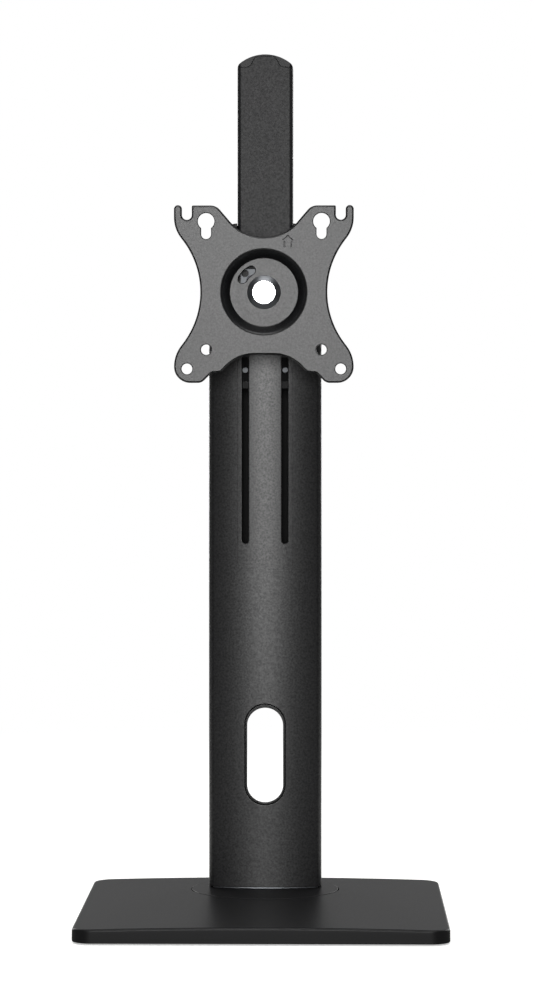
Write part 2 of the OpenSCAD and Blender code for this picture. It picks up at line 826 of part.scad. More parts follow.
// The arm's section, seen from above
module arm_plan(inset) {
    half = arm_w / 2 - inset;
    r = 2.4 - 0.6 * inset;
    translate([-half + r, arm_y + inset]) square([2 * (half - r), arm_d - inset]);
    translate([-half, arm_y + inset + r]) square([2 * half, arm_d - inset - r]);
    for (x = [-1, 1]) translate([x * (half - r), arm_y + inset + r]) circle(r);
}

module arm_channel() {
    color(strip_grey) difference() {
        intersection() {
            along_z(arm_bottom, arm_top) difference() {
                arm_plan(0);
                arm_plan(arm_t);
                translate([-arm_w / 2 + arm_t, arm_y + arm_t + 1]) square([arm_w - 2 * arm_t, arm_d]);
            }
            along_y(arm_y - 1, arm_rear + 1) polygon(rounded(strip_corners(arm_bottom, arm_w / 2, 0)));
        }
        for (x = [-1, 1]) {
            rod_y(x * slot_at, glide_screw_z, glide_screw_r + seat_gap, arm_y - 1,
                arm_y + arm_t + 1);
            for (z = head_screw_zs)
                rod_y(x * head_screw_x, z, head_screw_r + seat_gap, arm_y - 1, arm_y + arm_t + 1);
        }
        rod_x(spring_y, upper_pin_z, pin_r + run_gap, -arm_w, arm_w);
    }
}

// The arm's whole outline at its top, seen from the front
module arm_top_face() {
    r = 4.5;
    half = arm_w / 2;
    centre_z = arm_top - arm_top_r;
    corner_z = centre_z + sqrt(pow(arm_top_r - r, 2) - pow(half - r, 2));
    tangent_x = (half - r) * arm_top_r / (arm_top_r - r);
    intersection() {
        translate([0, centre_z]) circle(arm_top_r, $fn = smooth);
        translate([-tangent_x, corner_z - 20]) square([2 * tangent_x, 40]);
    }
    for (x = [-1, 1]) translate([x * (half - r), corner_z]) circle(r);
    translate([-half, corner_z - 20]) square([2 * half, 20]);
}

module arm_cap() {
    seam = 0.15;
    plug_top = shoulder_z + seam;
    plug_bottom = upper_pin_z + eye_r + 1.5;
    color(black) difference() {
        union() {
            intersection() {
                along_y(arm_y, arm_rear) arm_top_face();
                along_z(plug_top, arm_top + 1) arm_plan(0);
            }
            along_z(plug_bottom, plug_top + 1) arm_plan(arm_t + seat_gap);
        }
        along_y(arm_y - 1, arm_y + arm_t + seam)
            polygon(rounded(strip_corners(shoulder_z - 1, arm_w / 2 + 1, seam)));
    }
}

module arm_glides() {
    tab_front = arm_y - glide_tab_t;
    tab_hw = 4;
    tab_h = 16;
    z0 = arm_bottom + 1;
    outer = arm_w / 2 + glide_t;
    color(black) both_sides() difference() {
        union() {
            translate([arm_w / 2 + run_gap, tab_front, z0])
                cube([glide_t - run_gap, arm_d - 1, glide_h]);
            translate([slot_at - tab_hw, tab_front, z0 + tab_hw])
                cube([outer - slot_at + tab_hw, glide_tab_t - run_gap, tab_h]);
        }
        rod_y(slot_at, glide_screw_z, glide_screw_r + run_gap, tab_front - 1, arm_y + 1);
        rod_y(slot_at, glide_screw_z, glide_head_r + seat_gap, tab_front - 1,
            tab_front + glide_head_h);
    }
}

module glide_screws() {
    head_y = arm_y - glide_tab_t;
    color(zinc) for (x = [-slot_at, slot_at]) {
        rod_y(x, glide_screw_z, glide_head_r, head_y, head_y + glide_head_h);
        rod_y(x, glide_screw_z, glide_screw_r, head_y + 1, arm_y + arm_t);
    }
}

module spring_rod() {
    piston_z = rod_bottom + piston_rise;
    color(zinc) difference() {
        union() {
            rod_z(0, spring_y, rod_r, rod_bottom, upper_pin_z);
            rod_z(0, spring_y, tube_r - tube_wall - run_gap, piston_z, piston_z + piston_h);
            rod_x(spring_y, upper_pin_z, eye_r, -spring_eye_hw, spring_eye_hw);
        }
        rod_x(spring_y, upper_pin_z, pin_r + run_gap, -spring_eye_hw - 1, spring_eye_hw + 1);
    }
}

module rod_pin() {
    color(zinc) rod_x(spring_y, upper_pin_z, pin_r, -arm_w / 2 + 0.1, arm_w / 2 - 0.1);
}

module head_bracket() {
    half = arm_w / 2;
    z0 = head_z - bracket_h / 2;
    color(black) difference() {
        union() {
            along_y(bracket_y, bracket_y + bracket_t)
                translate([0, head_z]) round_rect(2 * half, bracket_h, 3);
            both_sides() {
                // Leg through the guide slot, then the tab flat on the arm
                translate([slot_at - leg_t / 2, bracket_y + 1, leg_bottom])
                    cube([leg_t, arm_y - bracket_y - 1, leg_top - leg_bottom]);
                translate([slot_at + leg_t / 2 - 11, tab_y, leg_bottom])
                    cube([11, tab_t, leg_top - leg_bottom]);
                translate([ear_x, tilt_y, head_z - block_r])
                    cube([ear_t, bracket_y - tilt_y + 1, 2 * block_r]);
                rod_x(tilt_y, head_z, block_r, ear_x, ear_side);
            }
        }
        rod_x(tilt_y, head_z, tilt_bolt_r + run_gap, -half - 10, half + 10);
        for (x = [-1, 1], z = head_screw_zs)
            rod_y(x * head_screw_x, z, head_screw_r + run_gap, tab_y - 1, arm_y + 1);
    }
}

module head_screws() {
    head_y = arm_y + arm_t;
    head_r = 3.4;
    head_h = 2;
    color(steel) for (x = [-head_screw_x, head_screw_x], z = head_screw_zs) {
        rod_y(x, z, head_r, head_y, head_y + head_h);
        rod_y(x, z, head_screw_r, tab_y + 0.2, head_y + 1);
    }
}

module tilt_bolt() {
    hex_h = 4;
    color(steel) {
        rod_x(tilt_y, head_z, tilt_bolt_r, -ear_side - 1, ear_side + 9);
        translate([-ear_side - hex_h, tilt_y, head_z]) rotate([0, 90, 0])
            cylinder(r = hex_r, h = hex_h, $fn = 6);
    }
}

module tilt_spring_washers() {
    color(steel) for (i = [0, 1]) difference() {
        rod_x(tilt_y, head_z, 1.9 * tilt_bolt_r, ear_side + i, ear_side + i + spring_washer_t);
        rod_x(tilt_y, head_z, tilt_bolt_r + run_gap, ear_side - 1, ear_side + 5);
    }
}

module tilt_nut() {
    start = ear_side + 1 + spring_washer_t + run_gap;
    nut_h = 6;
    color(steel) difference() {
        translate([start, tilt_y, head_z]) rotate([0, 90, 0])
            cylinder(r = hex_r, h = nut_h, $fn = 6);
        rod_x(tilt_y, head_z, tilt_bolt_r + run_gap, start - 1, start + nut_h + 1);
    }
}

module at_flange_screws() {
    for (x = [-1, 1], z = [-1, 1])
        translate([x * flange_screw_at, flange_y, head_z + z * flange_screw_at])
            rotate([-90, 0, 0]) children();
}

module tilt_block() {
    block_y = flange_y + flange_t;
    color(steel) difference() {
        union() {
            rod_x(tilt_y, head_z, block_r, -block_hw, block_hw);
            translate([-block_hw, block_y, head_z - block_r])
                cube([2 * block_hw, tilt_y - block_y, 2 * block_r]);
        }
        rod_x(tilt_y, head_z, tilt_bolt_r + run_gap, -block_hw - 1, block_hw + 1);
        at_flange_screws() translate([0, 0, flange_t - 1])
            cylinder(r = flange_screw_r + run_gap, h = 7);
    }
}

module tilt_washers() {
    color(acetal) both_sides() difference() {
        rod_x(tilt_y, head_z, block_r - 1, block_hw + run_gap, block_hw + run_gap + tilt_washer_t);
        rod_x(tilt_y, head_z, tilt_bolt_r + run_gap, block_hw - 1, block_hw + 5);
    }
}

module pivot_flange() {
    tube_front = floor_y - pivot_washer_t - 2 * run_gap;
    lip_t = 1.1;
    cup_r = swage_r - 1.6;
    bore_r = pivot_r - 1.9;
    color(zinc) difference() {
        turned_y([
            [0, tube_front - lip_t + 0.7], [cup_r, tube_front - lip_t + 0.7],
            [cup_r + 0.4, tube_front - lip_t], [swage_r - 0.5, tube_front - lip_t],
            [swage_r, tube_front - 0.5], [swage_r, tube_front], [pivot_r, tube_front],
            [pivot_r, flange_y], [flange_r - 0.5, flange_y], [flange_r, flange_y + 0.5],
            [flange_r, flange_y + flange_t], [bore_r, flange_y + flange_t],
            [bore_r, tube_front + 1.5], [0, tube_front + 1.5]
        ]);
        at_flange_screws()
            countersink(flange_screw_r + run_gap, flange_screw_head_r + run_gap, flange_t + 1);
        rod_y(-lock_hole_at, head_z + lock_hole_at, 2.2, flange_y - 1, flange_y + flange_t + 1);
        translate([-lock_hole_at, flange_y - eps, head_z + lock_hole_at]) rotate([-90, 0, 0])
            cylinder(r1 = 2.8, r2 = 2.2, h = 0.6);
    }
}

module flange_screws() {
    color(steel) at_flange_screws()
        sunk_screw(flange_screw_r, flange_screw_head_r, flange_t + 4.5);
}

module friction_washer() {
    y0 = floor_y + plate_t + run_gap;
    color(acetal) turned_y([[pivot_r + run_gap, y0], [pivot_r + 5.5, y0],
        [pivot_r + 5.5, y0 + friction_t], [pivot_r + run_gap, y0 + friction_t]]);
}

module pivot_washer() {
    y1 = floor_y - run_gap;
    y0 = y1 - pivot_washer_t;
    color(rubber) turned_y([[pivot_r + run_gap, y0], [pivot_washer_r - 0.4, y0],
        [pivot_washer_r, y0 + 0.4], [pivot_washer_r, y1], [pivot_r + run_gap, y1]]);
}

// The right half of the screen plate's outline about its centre, from the bottom up
function plate_half() = let (
    large = vesa_large / 2,
    small = vesa_small / 2,
    side = large + plate_rim,
    lobe_z = -large - lobe_drop,
    chamfer = lobe_drop - 2.5,
    chamfer_x = large - 9.5,
    step_z = -small - 15,
    low_z = 0.6 - waist,
    waist_half = large - 17,
    waist_a = asin(waist_half / waist_r),
    waist_end_x = waist + waist_r * (1 - cos(waist_a)),
    side_z = waist_half + (side - waist_end_x) / tan(waist_a),
    side_blend_r = 22,
    top = large + 6.3,
    ledge = top - 0.2,
    horn_r = 2.55,
    dip_half = dip_r - 6,
    dip_a = asin(dip_half / dip_r)
) concat(
    [[13.4, low_z, 10], [26.5, step_z, 5], [chamfer_x - chamfer, step_z, 3],
        [chamfer_x, lobe_z, 6], [side, lobe_z, lobe_r], [side, -side_z, side_blend_r]],
    sharp(arc([waist + waist_r, 0], waist_r, 180 + waist_a, 180 - waist_a, 20)),
    [[side, side_z, side_blend_r], [side, top, horn_r], [large + hook_r, top, horn_r]],
    sharp(arc([large, large], hook_r, 0, -180, 12)),
    [[large - hook_r, ledge, 0.8], [dip_r + 2, ledge, 8]],
    sharp(arc([0, dip + dip_r], dip_r, -90 + dip_a, -90, 12))
);

// The section of the dish, pressed from the plate with one thickness throughout
function dish_section() = let (
    back = plate_y + plate_t,
    floor_back = floor_y + plate_t
) [
    [dish_r + 3, plate_y], [dish_r - 0.2, plate_y], [dish_r - 1.3, plate_y + 0.5],
    [dish_r - 2, plate_y + 1.5], [dish_floor_r + 0.5, floor_y], [pivot_r + run_gap, floor_y],
    [pivot_r + run_gap, floor_back], [dish_floor_r + 1.6, floor_back],
    [dish_floor_r + 2.6, floor_back - 0.5], [dish_r + 0.9, back + 0.4], [dish_r + 1.8, back],
    [dish_r + 3, back]
];

// The curved slot over the flange's locking hole
module lock_slot() {
    slot_r = 16.5;
    half_w = 2.75;
    ends = [120.6, 148.4];
    intersection() {
        difference() {
            circle(slot_r + half_w);
            circle(slot_r - half_w);
        }
        polygon([[0, 0], 2 * slot_r * [cos(ends[0]), sin(ends[0])],
            2 * slot_r * [cos(ends[1]), sin(ends[1])]]);
    }
    for (a = ends) translate(slot_r * [cos(a), sin(a)]) circle(half_w);
}

module vesa_plate() {
    large = vesa_large / 2;
    small = vesa_small / 2;
    half = plate_half();
    color(plate_grey) difference() {
        union() {
            difference() {
                translate([0, 0, head_z]) along_y(plate_y, plate_y + plate_t)
                    polygon(rounded(concat(half, mirrored(half))));
                rod_y(0, head_z, dish_r + 2, plate_y - 1, plate_y + plate_t + 1);
            }
            turned_y(dish_section());
        }
        both_sides() {
            rod_y(large, head_z - large, hole_r, plate_y - 1, plate_y + 5);
            rod_y(small, head_z - small, inner_hole_r, plate_y - 1, plate_y + 5);
            translate([0, 0, head_z]) along_y(plate_y - 1, plate_y + 5) {
                stadium(small, 2 * hook_r, small - hook_r, small + key_rise);
                translate([small, small + key_rise]) circle(key_r);
            }
        }
        translate([0, 0, head_z]) along_y(floor_y - 1, floor_y + 5) lock_slot();
    }
}

base_cover();
ballast_plate();
rubber_feet();
base_screws();
swivel_washer();
swivel_stop_pin();
turntable_plate();
turntable_cap();
retainer_washer();
swivel_retainer();
retainer_screws();
foot_plate();
column_screws();
column_shell();
rear_cover();
cover_screws();
cable_liner();
column_cap();
gas_cylinder();
spring_bracket();
spring_bracket_screws();
spring_pin();
arm_channel();
arm_cap();
arm_glides();
glide_screws();
spring_rod();
rod_pin();
head_bracket();
head_screws();
tilt_bolt();
tilt_nut();
tilt_spring_washers();
tilt_block();
tilt_washers();
pivot_flange();
flange_screws();
friction_washer();
pivot_washer();
vesa_plate();
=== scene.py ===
# Looks of a free-standing stand for one monitor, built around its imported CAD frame
import json
import math

import bmesh
import bpy
from mathutils import Matrix, Vector


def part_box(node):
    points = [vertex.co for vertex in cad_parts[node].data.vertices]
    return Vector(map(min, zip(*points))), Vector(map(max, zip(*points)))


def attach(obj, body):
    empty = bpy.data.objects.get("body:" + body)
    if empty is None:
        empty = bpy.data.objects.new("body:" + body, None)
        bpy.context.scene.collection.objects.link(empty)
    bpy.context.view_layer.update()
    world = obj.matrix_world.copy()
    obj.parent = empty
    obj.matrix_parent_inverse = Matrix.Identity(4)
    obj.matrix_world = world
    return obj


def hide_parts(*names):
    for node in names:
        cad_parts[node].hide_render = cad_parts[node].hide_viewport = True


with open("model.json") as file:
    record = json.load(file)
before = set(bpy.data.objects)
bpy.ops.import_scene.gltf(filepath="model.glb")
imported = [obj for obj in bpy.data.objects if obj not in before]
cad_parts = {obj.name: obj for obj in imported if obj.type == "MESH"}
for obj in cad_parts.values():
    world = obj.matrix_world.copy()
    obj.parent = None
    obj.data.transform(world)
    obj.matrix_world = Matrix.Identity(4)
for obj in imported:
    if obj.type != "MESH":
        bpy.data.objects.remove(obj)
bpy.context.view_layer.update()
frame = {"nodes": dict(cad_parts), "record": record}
mm = 0.001
nodes = frame["nodes"]
bodyOf = {node: body for body, members in frame["record"]["behaviour"]["bodies"].items() for node in members}


# Colours are sRGB hex, as a colour picker gives them
def toLinear(hexColour):
    def channel(start):
        value = int(hexColour[start:start + 2], 16) / 255
        return value / 12.92 if value <= 0.04045 else ((value + 0.055) / 1.055) ** 2.4
    return channel(1), channel(3), channel(5), 1.0


# Adds a shader node; inputs are given by name or number, and a value that is a socket is linked
def addNode(tree, kind, inputs=None, **settings):
    node = tree.nodes.new(kind)
    for name, value in settings.items():
        setattr(node, name, value)
    for name, value in (inputs or {}).items():
        if isinstance(value, bpy.types.NodeSocket):
            tree.links.new(value, node.inputs[name])
        else:
            node.inputs[name].default_value = value
    return node


def emptyTree(owner):
    owner.use_nodes = True
    owner.node_tree.nodes.clear()
    return owner.node_tree


def addObject(name, data):
    holder = bpy.data.objects.new(name, data)
    bpy.context.scene.collection.objects.link(holder)
    return holder


# Camera, at the photo's place, turned a little to the left and down
print("stage: camera and light")
cameraSpec = {"place": (36.8 * mm, -2129.9 * mm, 326.5 * mm), "focalPixels": 3283.1, "pictureHeight": 1000,
              "sensor": 36, "turn": 0.0161, "dip": 0.0254}


def addCamera(spec):
    camera = bpy.data.cameras.new("camera")
    camera.sensor_fit = "VERTICAL"
    camera.sensor_height = spec["sensor"]
    camera.sensor_width = spec["sensor"]
    camera.lens = spec["sensor"] * spec["focalPixels"] / spec["pictureHeight"]
    camera.clip_end = 50
    holder = addObject("camera", camera)
    holder.location = spec["place"]
    holder.rotation_euler = (math.pi / 2 - spec["dip"], 0, spec["turn"])
    bpy.context.scene.camera = holder


addCamera(cameraSpec)
bpy.context.scene.view_settings.view_transform = "Standard"

# A frontal softbox near the camera, a wide one above, and two behind that shape the sides and back
lampSpec = {
    "key": {"place": (-0.06, -2.5, 0.56), "aim": (0, 0, 0.34), "size": (0.5, 0.8), "watts": 36},
    "top": {"place": (0.1, -0.75, 2.3), "aim": (0, 0, 0.2), "size": (1.6, 1.6), "watts": 30},
    "leftBack": {"place": (-1.3, 2.2, 0.9), "aim": (0, 0, 0.3), "size": (0.9, 1.4), "watts": 30},
    "rightBack": {"place": (1.3, 2.2, 0.9), "aim": (0, 0, 0.3), "size": (0.9, 1.4), "watts": 30},
}


def addLamps(spec):
    for name, values in spec.items():
        lamp = bpy.data.lights.new(name, "AREA")
        lamp.shape = "RECTANGLE"
        lamp.size, lamp.size_y = values["size"]
        lamp.energy = values["watts"]
        holder = addObject(name, lamp)
        holder.location = values["place"]
        aim = Vector(values["aim"]) - Vector(values["place"])
        holder.rotation_euler = aim.to_track_quat("-Z", "Y").to_euler()


addLamps(lampSpec)

# The room as the paint mirrors it: white behind, paler at the sides and above, and dim in front, so that dark
# paint keeps its edges. A zone lies along one axis. It has a level, and the shares of a direction along that
# axis at which it starts and is full
roomSpec = {"fill": 0.4, "dim": 0.03,
            "zones": {"Y": (1.0, 0.8, 0.96), "X": (0.45, 0.8, 0.96), "Z": (0.4, 0.35, 0.8)}}


def addRoom(spec):
    world = bpy.data.worlds.new("room")
    bpy.context.scene.world = world
    tree = emptyTree(world)
    path = addNode(tree, "ShaderNodeLightPath")
    place = addNode(tree, "ShaderNodeTexCoord")
    axes = addNode(tree, "ShaderNodeSeparateXYZ", {0: place.outputs["Generated"]})
    mirroredLevel = spec["dim"]
    for axis, (level, start, full) in spec["zones"].items():
        share = axes.outputs[axis]
        if axis == "X":
            share = addNode(tree, "ShaderNodeMath", {0: share}, operation="ABSOLUTE").outputs[0]
        zone = addNode(tree, "ShaderNodeMapRange", {
            "Value": share, "From Min": start, "From Max": full, "To Max": level},
            interpolation_type="SMOOTHSTEP")
        mirroredLevel = addNode(tree, "ShaderNodeMath", {
            0: zone.outputs["Result"], 1: mirroredLevel}, operation="MAXIMUM").outputs[0]
    mirrored = addNode(tree, "ShaderNodeMath", {
        0: path.outputs["Is Glossy Ray"], 1: path.outputs["Is Transmission Ray"]}, operation="MAXIMUM")
    seen = addNode(tree, "ShaderNodeMix", {
        "Factor": mirrored.outputs[0], "A": spec["fill"], "B": mirroredLevel})
    level = addNode(tree, "ShaderNodeMix", {
        "Factor": path.outputs["Is Camera Ray"], "A": seen.outputs["Result"], "B": 1.0})
    light = addNode(tree, "ShaderNodeBackground", {
        "Color": (1, 1, 1, 1), "Strength": level.outputs["Result"]})
    addNode(tree, "ShaderNodeOutputWorld", {"Surface": light.outputs[0]})


addRoom(roomSpec)

# The floor is pale card. It shows the shadow near the stand and runs out to plain white. To all but the
# camera it is dimmer in front, and it grows dim further out, except behind the stand
floorSpec = {"size": 14.0, "colour": "#e8e8e6", "lift": 0.42, "shadowEnd": 0.5, "whiteEnd": 1.3,
             "dimStart": 0.6, "dimEnd": 1.5, "dimShare": 0.08, "frontShare": 0.25, "frontFade": 0.3}


def addCardFinish(spec):
    material = bpy.data.materials.new("paleCard")
    tree = emptyTree(material)
    path = addNode(tree, "ShaderNodeLightPath")
    here = addNode(tree, "ShaderNodeTexCoord").outputs["Object"]
    reach = addNode(tree, "ShaderNodeVectorMath", {0: here}, operation="LENGTH").outputs["Value"]
    y = addNode(tree, "ShaderNodeSeparateXYZ", {0: here}).outputs["Y"]
    backward = addNode(tree, "ShaderNodeMath", {0: y, 1: reach}, operation="DIVIDE").outputs[0]
    level, start, full = roomSpec["zones"]["Y"]
    ramps = {
        "away": {"Value": reach, "From Min": spec["shadowEnd"], "From Max": spec["whiteEnd"]},
        "near": {"Value": reach, "From Min": spec["dimStart"], "From Max": spec["dimEnd"],
                 "To Min": 1.0, "To Max": spec["dimShare"]},
        "behind": {"Value": backward, "From Min": start, "From Max": full, "To Max": level},
        "front": {"Value": backward, "From Min": -spec["frontFade"], "From Max": spec["frontFade"],
                  "To Min": spec["frontShare"]},
    }
    ramp = {name: addNode(tree, "ShaderNodeMapRange", inputs, interpolation_type="SMOOTHSTEP").outputs[0]
            for name, inputs in ramps.items()}
    seen = path.outputs["Is Camera Ray"]
    for kind in ("Is Glossy Ray", "Is Transmission Ray"):
        seen = addNode(tree, "ShaderNodeMath", {
            0: seen, 1: path.outputs[kind]}, operation="MAXIMUM").outputs[0]
    card = addNode(tree, "ShaderNodeBsdfDiffuse", {"Color": toLinear(spec["colour"])})
    liftLevel = addNode(tree, "ShaderNodeMath", {0: seen, 1: spec["lift"]}, operation="MULTIPLY")
    lift = addNode(tree, "ShaderNodeEmission", {"Strength": liftLevel.outputs[0]})
    lifted = addNode(tree, "ShaderNodeAddShader", {0: card.outputs[0], 1: lift.outputs[0]})
    white = addNode(tree, "ShaderNodeEmission", {"Strength": 1.0})
    whiteShare = addNode(tree, "ShaderNodeMath", {0: seen, 1: ramp["away"]}, operation="MULTIPLY")
    pale = addNode(tree, "ShaderNodeMixShader", {
        0: whiteShare.outputs[0], 1: lifted.outputs[0], 2: white.outputs[0]})
    paleNear = addNode(tree, "ShaderNodeMath", {0: ramp["near"], 1: ramp["front"]}, operation="MULTIPLY")
    shown = path.outputs["Is Camera Ray"]
    for share in (ramp["behind"], paleNear.outputs[0]):
        shown = addNode(tree, "ShaderNodeMath", {0: shown, 1: share}, operation="MAXIMUM").outputs[0]
    black = addNode(tree, "ShaderNodeBsdfDiffuse", {"Color": (0, 0, 0, 1)})
    surface = addNode(tree, "ShaderNodeMixShader", {0: shown, 1: black.outputs[0], 2: pale.outputs[0]})
    addNode(tree, "ShaderNodeOutputMaterial", {"Surface": surface.outputs[0]})
    return material


def addFloor(spec):
    mesh = bpy.data.meshes.new("floor")
    half = spec["size"] / 2
    corners = [(-half, -half, 0), (half, -half, 0), (half, half, 0), (-half, half, 0)]
    mesh.from_pydata(corners, [], [(0, 1, 2, 3)])
    mesh.materials.append(addCardFinish(spec))
    floor = addObject("floor", mesh)


addFloor(floorSpec)

# Finishes. grain is the size of the surface's own texture in mm, and relief how deep it is. fleck is how much
# paler the grain's light spots are, and speckle how much the coat varies with the grain. Real grain is mostly
# finer than the picture's pixels of 0.65 mm, so it is drawn coarser, to show
print("stage: finishes")
coatedKeys = ("colour", "roughness", "coat", "coatRoughness", "grain", "relief", "fleck", "speckle")
coatedRows = {
    # Epoxy powder coat on steel and aluminium: a soft wide sheen over black, with the speckle of orange peel
    "powderCoatColumn": ("#0e0e0f", 0.55, 0.96, 0.38, 1.3, 0.02, 0.35, 0.34),
    "powderCoatPlate": ("#0e0e0f", 0.5, 0.64, 0.34, 1.2, 0.012, 0.2, 0.2),
    "powderCoatArm": ("#101011", 0.6, 0.56, 0.48, 1.3, 0.02, 0.5, 0.36),
    # Moulded ABS with a fine spark-eroded skin: nearly black, and it mirrors dimly at a low angle
    "mouldedAbsBase": ("#0e0e0f", 0.5, 0.34, 0.38, 0.8, 0.008, 0.25, 0.1),
    "mouldedAbsTrim": ("#0e0e0f", 0.5, 0.6, 0.42, 0.9, 0.01, 0.3, 0.15),
    # The inside of the moulded cover, seen through the slots: darker and with hardly any sheen, as painted
    # shade behind the slots
    "paintedShadeInside": ("#0a0a0b", 0.6, 0.1, 0.45, 0.9, 0.01, 0.2, 0.1),
    # Painted steel at the arm's lower end, darker and with little sheen, as painted shade where that end
    # shows at the top of the slots
    "paintedShadeArmEnd": ("#0a0a0b", 0.5, 0.12, 0.4, 1.3, 0.01, 0.3, 0.2),
    # Smooth moulded ABS of the cable liner: darker, with a tighter sheen
    "mouldedAbsGloss": ("#0a0a0b", 0.4, 0.5, 0.25, 2.0, 0.003, 0.1, 0.05),
    # Gloss paint on the gas spring's steel tube: as dark, with the same tight sheen
    "glossPaint": ("#0a0a0b", 0.4, 0.5, 0.25, 2.0, 0.003, 0.1, 0.05),
    # Die-cast alloy, shot blasted and painted
    "dieCastAlloy": ("#121213", 0.55, 0.2, 0.45, 1.3, 0.02, 0.3, 0.15),
    # Turned acetal: waxy white
    "turnedAcetal": ("#dedbd0", 0.4, 0.3, 0.3, 0.9, 0.002, 0.05, 0.05),
    # Black nylon glides and rubber feet: dull, with hardly any sheen
    "blackNylon": ("#070708", 0.5, 0.03, 0.4, 0.8, 0.004, 0.1, 0.1),
    "mouldedRubber": ("#121212", 0.8, 0.02, 0.5, 0.6, 0.01, 0.2, 0.1),
}
metalKeys = ("colour", "roughness", "metallic", "grain", "relief", "fleck")
metalRows = {
    # Chemically blackened screws
    "blackOxideSteel": ("#232326", 0.38, 0.9, 0.5, 0.004, 0.3),
    # Plain steel, rolled, turned and punched
    "rolledSteel": ("#8d9094", 0.34, 1.0, 1.4, 0.003, 0.2),
    # Burnished steel of the pivot's ring: it mirrors the light above at its top and the dark room elsewhere
    "burnishedSteel": ("#6c6e71", 0.32, 1.0, 1.0, 0.003, 0.2),
    # Tumbled zinc on the flange and the glide screws: dull and rough, and darker than the zinc's own grey as
    # painted shade where they sit in shadow behind slots
    "dullZincAndShade": ("#737578", 0.6, 1.0, 0.7, 0.008, 0.25),
    # Bright zinc on the turned parts: pale and mirror-like with a soft spread
    "brightZinc": ("#c6c8c8", 0.2, 1.0, 1.2, 0.002, 0.12),
}
finishSpec = {name: dict(zip(coatedKeys, row)) for name, row in coatedRows.items()}
finishSpec.update({name: dict(zip(metalKeys, row)) for name, row in metalRows.items()})

# What the finishes share: the detail of the grain and of the larger patches, how many grains a patch is wide,
# how far a patch changes the roughness, and the noise values between which most of the grain lies
noiseSpec = {"grainDetail": 3.0, "grainRoughness": 0.6, "patchDetail": 2.0, "patchGrains": 30,
             "roughnessSpread": 0.04, "mostLow": 0.3, "mostHigh": 0.7}


def addFinish(name, spec, noise):
    material = bpy.data.materials.new(name)
    tree = emptyTree(material)
    place = addNode(tree, "ShaderNodeTexCoord")
    scale = 1 / (spec["grain"] * mm)
    grain = addNode(tree, "ShaderNodeTexNoise", {
        "Vector": place.outputs["Object"], "Scale": scale, "Detail": noise["grainDetail"],
        "Roughness": noise["grainRoughness"]})
    patch = addNode(tree, "ShaderNodeTexNoise", {
        "Vector": place.outputs["Object"], "Scale": scale / noise["patchGrains"],
        "Detail": noise["patchDetail"]})
    dark = toLinear(spec["colour"])
    light = tuple(min(1.0, value * (1 + spec["fleck"])) for value in dark[:3]) + (1.0,)
    tone = addNode(tree, "ShaderNodeMix", {
        "Factor": grain.outputs["Fac"], "A": dark, "B": light}, data_type="RGBA")
    worn = addNode(tree, "ShaderNodeMapRange", {
        "Value": patch.outputs["Fac"], "To Min": spec["roughness"] - noise["roughnessSpread"],
        "To Max": spec["roughness"] + noise["roughnessSpread"]})
    relief = addNode(tree, "ShaderNodeBump", {
        "Height": grain.outputs["Fac"], "Strength": 1.0, "Distance": spec["relief"] * mm})
    shader = addNode(tree, "ShaderNodeBsdfPrincipled", {
        "Base Color": tone.outputs["Result"], "Metallic": spec.get("metallic", 0.0),
        "Roughness": worn.outputs["Result"], "Normal": relief.outputs["Normal"]})
    if "coat" in spec:
        speckled = addNode(tree, "ShaderNodeMapRange", {
            "Value": grain.outputs["Fac"], "From Min": noise["mostLow"], "From Max": noise["mostHigh"],
            "To Min": spec["coat"] * (1 - spec["speckle"]), "To Max": spec["coat"] * (1 + spec["speckle"])})
        shader.inputs["Specular IOR Level"].default_value = 0.0
        tree.links.new(speckled.outputs["Result"], shader.inputs["Coat Weight"])
        shader.inputs["Coat Roughness"].default_value = spec["coatRoughness"]
        tree.links.new(relief.outputs["Normal"], shader.inputs["Coat Normal"])
    addNode(tree, "ShaderNodeOutputMaterial", {"Surface": shader.outputs[0]})
    return material


finish = {name: addFinish(name, spec, noiseSpec) for name, spec in finishSpec.items()}

nodesOfFinish = {
    "powderCoatColumn": ("column_shell", "head_bracket"), "powderCoatPlate": ("vesa_plate",),
    "powderCoatArm": ("arm_channel",), "mouldedAbsBase": ("base_cover", "turntable_cap", "arm_cap"),
    "mouldedAbsTrim": ("rear_cover", "column_cap"), "mouldedAbsGloss": ("cable_liner",),
    "glossPaint": ("gas_cylinder",), "dieCastAlloy": ("tilt_block",), "mouldedRubber": ("rubber_feet",),
    "blackNylon": ("arm_glides",), "dullZincAndShade": ("glide_screws",), "burnishedSteel": ("pivot_washer",),
    "brightZinc": ("spring_pin", "spring_rod", "rod_pin", "pivot_flange"),
    "turnedAcetal": ("swivel_washer", "retainer_washer", "tilt_washers", "friction_washer"),
    "rolledSteel": ("ballast_plate", "swivel_stop_pin", "turntable_plate", "swivel_retainer", "foot_plate",
                    "spring_bracket", "tilt_spring_washers"),
    "blackOxideSteel": ("base_screws", "retainer_screws", "column_screws", "cover_screws", "tilt_bolt",
                        "spring_bracket_screws", "head_screws", "tilt_nut", "flange_screws"),
}
finishOfNode = {node: name for name, members in nodesOfFinish.items() for node in members}
for nodeName, finishName in finishOfNode.items():
    for materialSlot in nodes[nodeName].material_slots:
        materialSlot.material = finish[finishName]

# Outlines are closed loops of points in mm. Solid material lies on the left of the way a loop runs
print("stage: tools for sheets and turned pieces")
joinLevel = math.cos(math.radians(42))  # faces that meet at less than this angle are shaded as one
sharpAngle = math.radians(35)  # from this angle an edge is rounded, or shaded as sharp
mergeGap = 0.001  # mm, under which two points are one
slack = 0.0001  # mm, by which a depth may miss a limit
leastStep = 1e-6  # mm, keeps a point at the end of a part in that part
leastWeight = 1e-12  # keeps a face of no size from weighing nothing
mitreLimit = 0.3  # keeps the inset of a very sharp corner short


def arcPoints(centre, radius, start, end, steps):
    turns = [math.radians(start + (end - start) * i / steps) for i in range(steps + 1)]
    return [(centre[0] + radius * math.cos(turn), centre[1] + radius * math.sin(turn)) for turn in turns]


